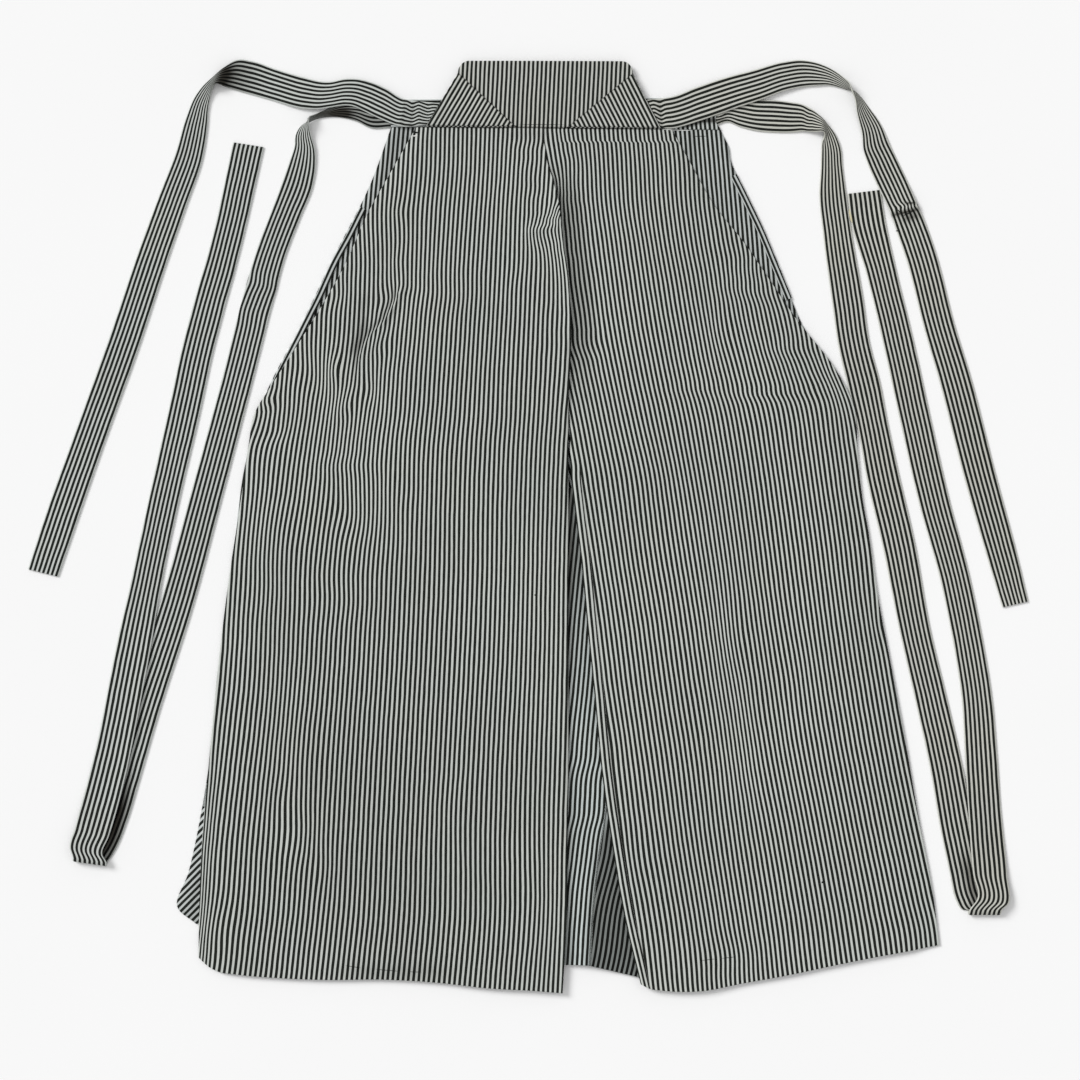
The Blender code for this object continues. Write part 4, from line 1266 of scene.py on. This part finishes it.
def front_panel(name, rows, pleats, marks, lean):
    """A front panel with its pleats folded up; its foot that shows past the back has a slanted grain."""
    table = np.array(rows, float)
    knots = run_of(table[:, 0:2])
    down = places(knots[-1], 6.0, (0.5,))
    read = smooth(knots, table, down)
    upper, lower, counts = [], [], []
    for row, place in zip(read, down / knots[-1]):
        start = row[0:2]
        reach = row[2:4] - start
        length = np.linalg.norm(reach)
        line = pleated_line(length, place, pleats)
        run = run_of(line)
        # Extra points between the corners, shared by both faces, and more on the last long stretch.
        last = len(line) - 1
        fine = np.concatenate([np.arange(3 * (last - 1)) / 3, last - 1 + np.arange(15) / 14])
        index = np.minimum(fine.astype(int), last - 1)
        part = (fine - index)[:, None]
        for grid, distance in ((upper, CLOTH / 2), (lower, -CLOTH / 2)):
            moved = offset_line(line, distance)
            spots = moved[index] * (1 - part) + moved[index + 1] * part
            ground = start + reach / length * spots[:, :1]
            grid.append(np.column_stack([ground, spots[:, 1]]))
        cloth = np.interp(fine, np.arange(len(line)), run) - run[-1]
        spot = upper[-1]
        side = math.copysign(1.0, row[2])
        count = lean_count(row[2], row[3], lean, FRONT_PITCH)
        count = count + side * cloth * math.cos(math.radians(lean)) / FRONT_PITCH
        peek = (spot[:, 0] < PEEK_X) & (spot[:, 1] < PEEK_Y)
        slanted = lean_count(spot[:, 0], spot[:, 1], PEEK_LEAN, PEEK_PITCH)
        counts.append(np.column_stack([np.where(peek, slanted, count), -spot[:, 1] / PITCH]))
    upper = np.array(upper)
    piece = wall(name, upper, np.array(lower), np.array(counts), FRONT)
    # Painted shade from the marks: under the board and ties, and on the foot that shows past the back.
    shade(piece, marked(marks, upper[..., 0], upper[..., 1]))
    stands_for(piece)


def slit_facing(name, rows, first):
    """The narrow turned strip along a front's open side."""
    table = np.array(rows, float)
    knots = run_of(table[:, :2])
    down = places(knots[-1], 3.0, (0.4,))
    read = smooth(knots, table, down)
    share = np.array([0.0, 0.03, 0.08, 0.2, 0.4, 0.6, 0.8, 0.92, 0.97, 1.0])
    angle = np.radians(read[:, 2:3])
    x = read[:, 0:1] + FACING_WIDTH * share * np.cos(angle)
    y = read[:, 1:2] + FACING_WIDTH * share * np.sin(angle)
    turned = rounded(FACING_WIDTH * np.minimum(share, 1 - share), CLOTH)
    middle = FACING_Z + 0.12 * np.sin(down / 11.0)[:, None] * share
    counts = np.broadcast_arrays(first + FACING_COUNTS * share, down[:, None] / PITCH)
    piece = turned_wall(name, x, y, middle, CLOTH, turned, counts, FRONT)
    stands_for(piece)


def band_piece():
    """The waistband that gathers the fronts; its right foot shows, with stripes that run down it."""
    length = BAND_RIGHT - BAND_LEFT
    share = places(length, 4.0, (0.5,)) / length
    x = BAND_LEFT + share * length
    top = BAND_TOP_LEFT + share * (BAND_TOP_RIGHT - BAND_TOP_LEFT)
    base = waist_line(x)
    part = places(BAND_HEIGHT, 2.0, (0.2, 0.6, 1.2)) / BAND_HEIGHT
    y = base[:, None] + (top - base)[:, None] * part
    x = x[:, None] + BAND_FLARE * share[:, None] ** 12 * ramp(-y, -425.5, -417.0)
    turned = np.broadcast_to(rounded(BAND_HEIGHT * np.minimum(part, 1 - part), BAND_CLOTH), y.shape)
    level = (y - 0.0073 * (x + 110)) / 4.6 + 0.5
    upright = lean_count(x, y, -5.0, 4.7) + 0.3
    foot = (x > 150) & (y < 432)
    counts = (np.where(foot, upright, level), np.where(foot, -y, x) / PITCH)
    piece = turned_wall("front_waistband_cloth", x, y, BAND_CLOTH / 2, BAND_CLOTH, turned, counts, FRONT)
    # Painted shade from the marks, under the edges of the right ties.
    shade(piece, marked(MARKS_BAND, x, y))
    stands_for(piece)


def board_outline():
    """Rows of the board: left X, right X, share of the rise to its shoulders and of the arc above."""
    rows = []
    for part in np.linspace(0, 1, 30):
        left = BOARD_BASE_LEFT + part * (BOARD_SHOULDER_LEFT[0] - BOARD_BASE_LEFT)
        right = BOARD_BASE_RIGHT + part * (BOARD_SHOULDER_RIGHT[0] - BOARD_BASE_RIGHT)
        rows.append((left, right, part, 0.0))
    for angle in np.radians(np.linspace(0, 90, 14)[1:]):
        left = BOARD_TOP_LEFT[0] + (BOARD_SHOULDER_LEFT[0] - BOARD_TOP_LEFT[0]) * math.cos(angle)
        right = BOARD_TOP_RIGHT[0] + (BOARD_SHOULDER_RIGHT[0] - BOARD_TOP_RIGHT[0]) * math.cos(angle)
        rows.append((left, right, 1.0, math.sin(angle)))
    return rows


def koshiita_piece():
    """The stiff back board in its cover, crowned along its length and rounded at its edges."""
    low_left, low_right = board_foot(BOARD_BASE_LEFT)[1], board_foot(BOARD_BASE_RIGHT)[1]
    share = places(BOARD_WIDE, 4.0, (0.3, 0.8, 1.6)) / BOARD_WIDE
    crown = BOARD_CROWN * np.sin(np.pi * share)
    upper, lower, counts = [], [], []
    for left, right, part, arc in board_outline():
        x = left + share * (right - left)
        low = low_left + share * (low_right - low_left)
        shoulder = BOARD_SHOULDER_LEFT[1] + share * (BOARD_SHOULDER_RIGHT[1] - BOARD_SHOULDER_LEFT[1])
        y = low + part * (shoulder - low) + arc * (BOARD_TOP_LEFT[1] - BOARD_SHOULDER_LEFT[1])
        inward = np.minimum(np.minimum(share, 1 - share) * (right - left), BOARD_TOP_LEFT[1] - y)
        drop = rounded(np.minimum(inward, y - low + 0.4), BOARD * 0.8)
        upper.append(np.column_stack([x, y, BOARD_BOTTOM + BOARD + crown - drop]))
        lower.append(np.column_stack([x, y, BOARD_BOTTOM + drop * 0.5]))
        counts.append(np.column_stack([lean_count(x, y, 2.7, 4.59) + 0.35, -y / PITCH]))
    piece = wall("koshiita_cloth", np.array(upper), np.array(lower), np.array(counts), BOARD_COTTON)
    stands_for(piece)


def board_foot(x, inset=0.0):
    """A place at the foot of the board, just above the waist seam."""
    return x, waist_line(x) + SEAM + inset


def from_side(spots, foot, peak):
    """Distances of spots from the straight side of a flap between its foot and its peak."""
    across = np.array([peak[1] - foot[1], foot[0] - peak[0]])
    return abs((spots - foot) @ across) / np.linalg.norm(across)


def flap_piece(name, corners, lean):
    """A triangular corner of the board's cover; corners are outer foot, inner foot and peak."""
    outer, inner, peak = (np.array(corner, float) for corner in corners)
    rows = np.concatenate([[0.0, 0.01, 0.03], np.linspace(0, 1, 26)[1:-1], [0.985]])
    near_outer, near_inner = [0.0, 0.01, 0.025, 0.05], [0.95, 0.975, 0.99, 1.0]
    share = np.concatenate([near_outer, np.linspace(0, 1, 22)[2:-2], near_inner])
    upper, lower, counts, dark = [], [], [], []
    for part in rows:
        left = outer + part * (peak - outer)
        right = inner + part * (peak - inner)
        spots = left + share[:, None] * (right - left)
        x, y = spots.T
        from_inner = from_side(spots, inner, peak)
        from_foot = y - np.interp(x, *zip(*sorted([tuple(outer), tuple(inner)])))
        nearest = np.minimum(np.minimum(from_side(spots, outer, peak), from_inner), abs(from_foot))
        bottom = FLAP_BOTTOM + BOARD_CROWN * np.sin(np.pi * np.clip((x - BOARD_BASE_LEFT) / BOARD_SPAN, 0, 1))
        upper.append(np.column_stack([x, y, bottom + CLOTH - rounded(nearest, CLOTH)]))
        lower.append(np.column_stack([x, y, bottom]))
        counts.append(np.column_stack([lean_count(x, y, lean, 4.52) + FLAP_FIRST, -y / PITCH]))
        # Painted shade: dark lines along the flap's inner edge and foot, where it meets the board.
        dark.append(0.75 * hill(from_inner, 0.9) + 0.4 * hill(from_foot, 0.7))
    piece = wall(name, np.array(upper), np.array(lower), np.array(counts), BOARD_COTTON)
    shade(piece, np.clip(dark, 0, 0.85))
    stands_for(piece)


def tie_edges(section):
    angle = math.radians(section.across)
    half = np.array([math.cos(angle), math.sin(angle), 0.0]) * section.wide / 2
    middle = np.array([section.x, section.y, TIE_CLOTH / 2])
    edge_a = middle - half + np.array([0.0, 0.0, section.lift_a])
    edge_b = middle + half + np.array([0.0, 0.0, section.lift_b])
    return np.concatenate([edge_a, edge_b])


def loop_edges(last, before):
    """Half a turn up and over, at the far end of a front tie."""
    middle = (last[:3] + last[3:]) / 2
    ahead = middle - (before[:3] + before[3:]) / 2
    along = last[3:] - last[:3]
    ahead -= along * np.dot(ahead, along) / np.dot(along, along)
    ahead /= np.linalg.norm(ahead)
    turns = []
    for degrees in LOOP_STEPS:
        angle = math.radians(degrees)
        move = ahead * LOOP_RADIUS * math.sin(angle)
        move = move + np.array([0.0, 0.0, LOOP_RADIUS * (1 - math.cos(angle))])
        turns.append(last + np.concatenate([move, move]))
    return turns


TIE_BANDS = 7  # dark bands across a tie
TIE_EDGE = 0.55  # counts of light cloth outside the first and last dark bands' middles
TIE_RIM = np.array([0.0, 0.006, 0.02, 0.045])  # shares of its width where an edge has extra points
TIE_CLEAR = 0.02  # mm between a tie and the surface


def tie_half(share):
    """Half a tie's thickness at shares of its width: thin at the edges, with a soft bead inside them."""
    thick = TIE_CLOTH / 2 * (1 - np.abs(2 * share - 1) ** 14) ** (1 / 2.5)
    bead = 0.12 * hill(np.minimum(share, 1 - share) - 0.07, 0.03)
    return np.clip(thick + bead, 0.04, TIE_CLOTH / 2 + 0.1)


def tie_piece(name, out, back, creases, marks, spacing, cotton):
    """A flat tie through its sections; with a way back, it turns over at the end of its way out."""
    sections = [tie_edges(section) for section in out]
    if back:
        sections += loop_edges(sections[-1], sections[-2])
        sections += [tie_edges(section) for section in back]
    sections = np.array(sections)
    knots = run_of((sections[:, :3] + sections[:, 3:]) / 2)
    down = places(knots[-1], spacing, (0.2, 0.6))
    edges = smooth(knots, sections, down)
    edge_a, edge_b = edges[:, :3], edges[:, 3:]
    share = np.concatenate([TIE_RIM, np.linspace(0.09, 0.91, 17), 1 - TIE_RIM[::-1]])
    middle = edge_a[:, None] + share[None, :, None] * (edge_b - edge_a)[:, None]
    rise, pull = crease_effect(creases, middle[..., 0], middle[..., 1])
    along = np.gradient(middle, axis=0)
    across = np.broadcast_to((edge_b - edge_a)[:, None], along.shape)
    normal = np.cross(along, across)
    normal /= np.maximum(np.linalg.norm(normal, axis=2), 1e-9)[:, :, None]
    middle[..., 2] += rise
    offset = normal * tie_half(share)[:, None]
    upper, lower = middle + offset, middle - offset
    for grid in (upper, lower):
        grid[..., 2] = np.maximum(grid[..., 2], TIE_CLEAR)
    count = 0.5 - TIE_EDGE + share * (TIE_BANDS - 1 + 2 * TIE_EDGE) + pull
    length = np.broadcast_to((down / PITCH)[:, None], rise.shape)
    piece = wall(name, upper, lower, np.stack([count, length], axis=-1), cotton)
    strand = (down > knots[len(out) - 1] + LOOP_RADIUS)[:, None].astype(int)
    # Painted shade from the marks: in the loops, under crossing strands, at the twists and along creases.
    shade(piece, marked(marks, middle[..., 0], middle[..., 1], strand))
    stands_for(piece)


def top_height(x, y):
    """Height of the uppermost cloth at a place, in mm."""
    scene = bpy.context.scene
    start = (x * MM, y * MM, 0.2)
    hit, place = scene.ray_cast(bpy.context.evaluated_depsgraph_get(), start, (0.0, 0.0, -1.0))[:2]
    return place[2] / MM if hit else 0.0


THREAD_SIDES = 8


def thread_piece(thread):
    """A flattened tube that follows the cloth under it, tapered at both ends."""
    bpy.context.view_layer.update()
    start, end = np.array([thread.x0, thread.y0]), np.array([thread.x1, thread.y1])
    length = np.linalg.norm(end - start)
    along = (end - start) / length
    side = np.array([-along[1], along[0]])
    steps = max(4, int(length / 1.2))
    around = np.linspace(0, 2 * np.pi, THREAD_SIDES, endpoint=False)
    points = []
    for part in np.linspace(0, 1, steps + 1):
        spot = start + part * (end - start)
        taper = 0.25 + 0.75 * min(1.0, 4 * min(part, 1 - part))
        base = max(top_height(*spot), 0.3) + 0.05
        for angle in around:
            ground = spot + side * thread.wide * taper * math.cos(angle)
            points.append((*ground, base + thread.high * taper * math.sin(angle)))
    faces = []
    for step in range(steps):
        for k in range(THREAD_SIDES):
            after = (k + 1) % THREAD_SIDES
            row, above = step * THREAD_SIDES, (step + 1) * THREAD_SIDES
            faces.append((row + k, row + after, above + after, above + k))
    mesh = bpy.data.meshes.new(thread.name)
    last = steps * THREAD_SIDES
    caps = [tuple(range(THREAD_SIDES))[::-1], tuple(last + k for k in range(THREAD_SIDES))]
    mesh.from_pydata((np.array(points) * MM).tolist(), [], faces + caps)
    mesh.materials.append(THREAD_TONES[thread.tone])
    mesh.shade_smooth()
    piece = bpy.data.objects.new(thread.name, mesh)
    bpy.context.scene.collection.objects.link(piece)
    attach(piece, "root")


def build():
    front_panel("front_left_cloth", FRONT_LEFT, PLEATS_LEFT, MARKS_FRONT_LEFT, 5.0)
    front_panel("front_right_cloth", FRONT_RIGHT, PLEATS_RIGHT, MARKS_FRONT_RIGHT, -5.0)
    slit_facing("slit_facing_left_cloth", FACING_LEFT, 0.05)
    slit_facing("slit_facing_right_cloth", FACING_RIGHT, 0.42)
    underlay_piece()
    back_panel(
        "back_left_cloth",
        BACK_LEFT,
        STRIPES_LEFT,
        [place.left_sag for place in HEM],
        CREASES_LEFT,
        MARKS_LEFT,
        "left",
    )
    back_panel(
        "back_right_cloth",
        BACK_RIGHT,
        STRIPES_RIGHT,
        [place.right_sag for place in HEM],
        CREASES_RIGHT,
        MARKS_RIGHT,
        "right",
    )
    band_piece()
    koshiita_piece()
    flap_piece(
        "koshiita_flap_left_cloth",
        [
            (BOARD_BASE_LEFT + FLAP_INSET, board_foot(BOARD_BASE_LEFT, FLAP_INSET)[1]),
            board_foot(FLAP_FOOT_LEFT, FLAP_INSET),
            (BOARD_SHOULDER_LEFT[0] + FLAP_INSET, BOARD_SHOULDER_LEFT[1] - FLAP_INSET),
        ],
        30.2,
    )
    flap_piece(
        "koshiita_flap_right_cloth",
        [
            (BOARD_BASE_RIGHT - FLAP_INSET, board_foot(BOARD_BASE_RIGHT, FLAP_INSET)[1]),
            board_foot(FLAP_FOOT_RIGHT, FLAP_INSET),
            (BOARD_SHOULDER_RIGHT[0] - FLAP_INSET, BOARD_SHOULDER_RIGHT[1] - FLAP_INSET),
        ],
        -26.5,
    )
    tie_piece(
        "tie_front_left_cloth",
        TIE_FRONT_LEFT_OUT,
        TIE_FRONT_LEFT_BACK,
        CREASES_TIE_FRONT_LEFT,
        MARKS_TIE_FRONT_LEFT,
        3.0,
        TIE_COOL,
    )
    tie_piece(
        "tie_front_right_cloth",
        TIE_FRONT_RIGHT_OUT,
        TIE_FRONT_RIGHT_BACK,
        CREASES_TIE_FRONT_RIGHT,
        MARKS_TIE_FRONT_RIGHT,
        3.0,
        TIE_COTTON,
    )
    tie_piece(
        "tie_back_left_cloth",
        TIE_BACK_LEFT,
        [],
        CREASES_TIE_BACK_LEFT,
        MARKS_TIE_BACK_LEFT,
        2.2,
        TIE_COOL,
    )
    tie_piece(
        "tie_back_right_cloth",
        TIE_BACK_RIGHT,
        [],
        CREASES_TIE_BACK_RIGHT,
        MARKS_TIE_BACK_RIGHT,
        2.0,
        TIE_COTTON,
    )
    for thread in THREADS:
        thread_piece(thread)


FLOOR_SIZE = 6.0  # m from its middle to its sides
FLOOR_Z = -0.0003


def studio():
    """Plain pale surface, soft light and a camera straight above."""
    scene = bpy.context.scene
    scene.view_settings.view_transform = "Standard"
    mesh = bpy.data.meshes.new("surface")
    signs = ((-1, -1), (1, -1), (1, 1), (-1, 1))
    corners = [(FLOOR_SIZE * x, FLOOR_SIZE * y, FLOOR_Z) for x, y in signs]
    mesh.from_pydata(corners, [], [(0, 1, 2, 3)])
    floor = bpy.data.objects.new("surface", mesh)
    scene.collection.objects.link(floor)
    n = Nodes("surface")
    tone = n.noise(n.add("ShaderNodeTexCoord").outputs["Object"], 3.0, 2.0)
    n.set("Base Color", n.mix(tone, (0.93, 0.93, 0.93, 1.0), (0.95, 0.95, 0.95, 1.0)))
    n.set("Roughness", 0.9)
    n.set("Specular IOR Level", 0.1)
    mesh.materials.append(n.material)

    world = bpy.data.worlds.new("studio")
    world.use_nodes = True
    world.node_tree.nodes["Background"].inputs[0].default_value = WHITE
    world.node_tree.nodes["Background"].inputs[1].default_value = SKY_LIGHT
    scene.world = world

    sun = bpy.data.lights.new("key", "SUN")
    sun.energy = KEY_LIGHT * math.pi / math.cos(KEY_TILT)
    sun.angle = math.radians(24)
    lamp = bpy.data.objects.new("key", sun)
    lamp.rotation_euler = (0.0, -KEY_TILT, KEY_TURN)
    scene.collection.objects.link(lamp)

    data = bpy.data.cameras.new("camera")
    data.lens = LENS
    data.sensor_width = SENSOR
    data.clip_start = 0.05
    data.clip_end = 50.0
    camera = bpy.data.objects.new("camera", data)
    camera.location = (VIEW_AT[0], VIEW_AT[1], VIEW_AT[2] + VIEW_WIDTH * LENS / SENSOR)
    camera.rotation_euler = (0.0, 0.0, 0.0)
    scene.collection.objects.link(camera)
    scene.camera = camera


studio()
build()

bpy.context.view_layer.update()
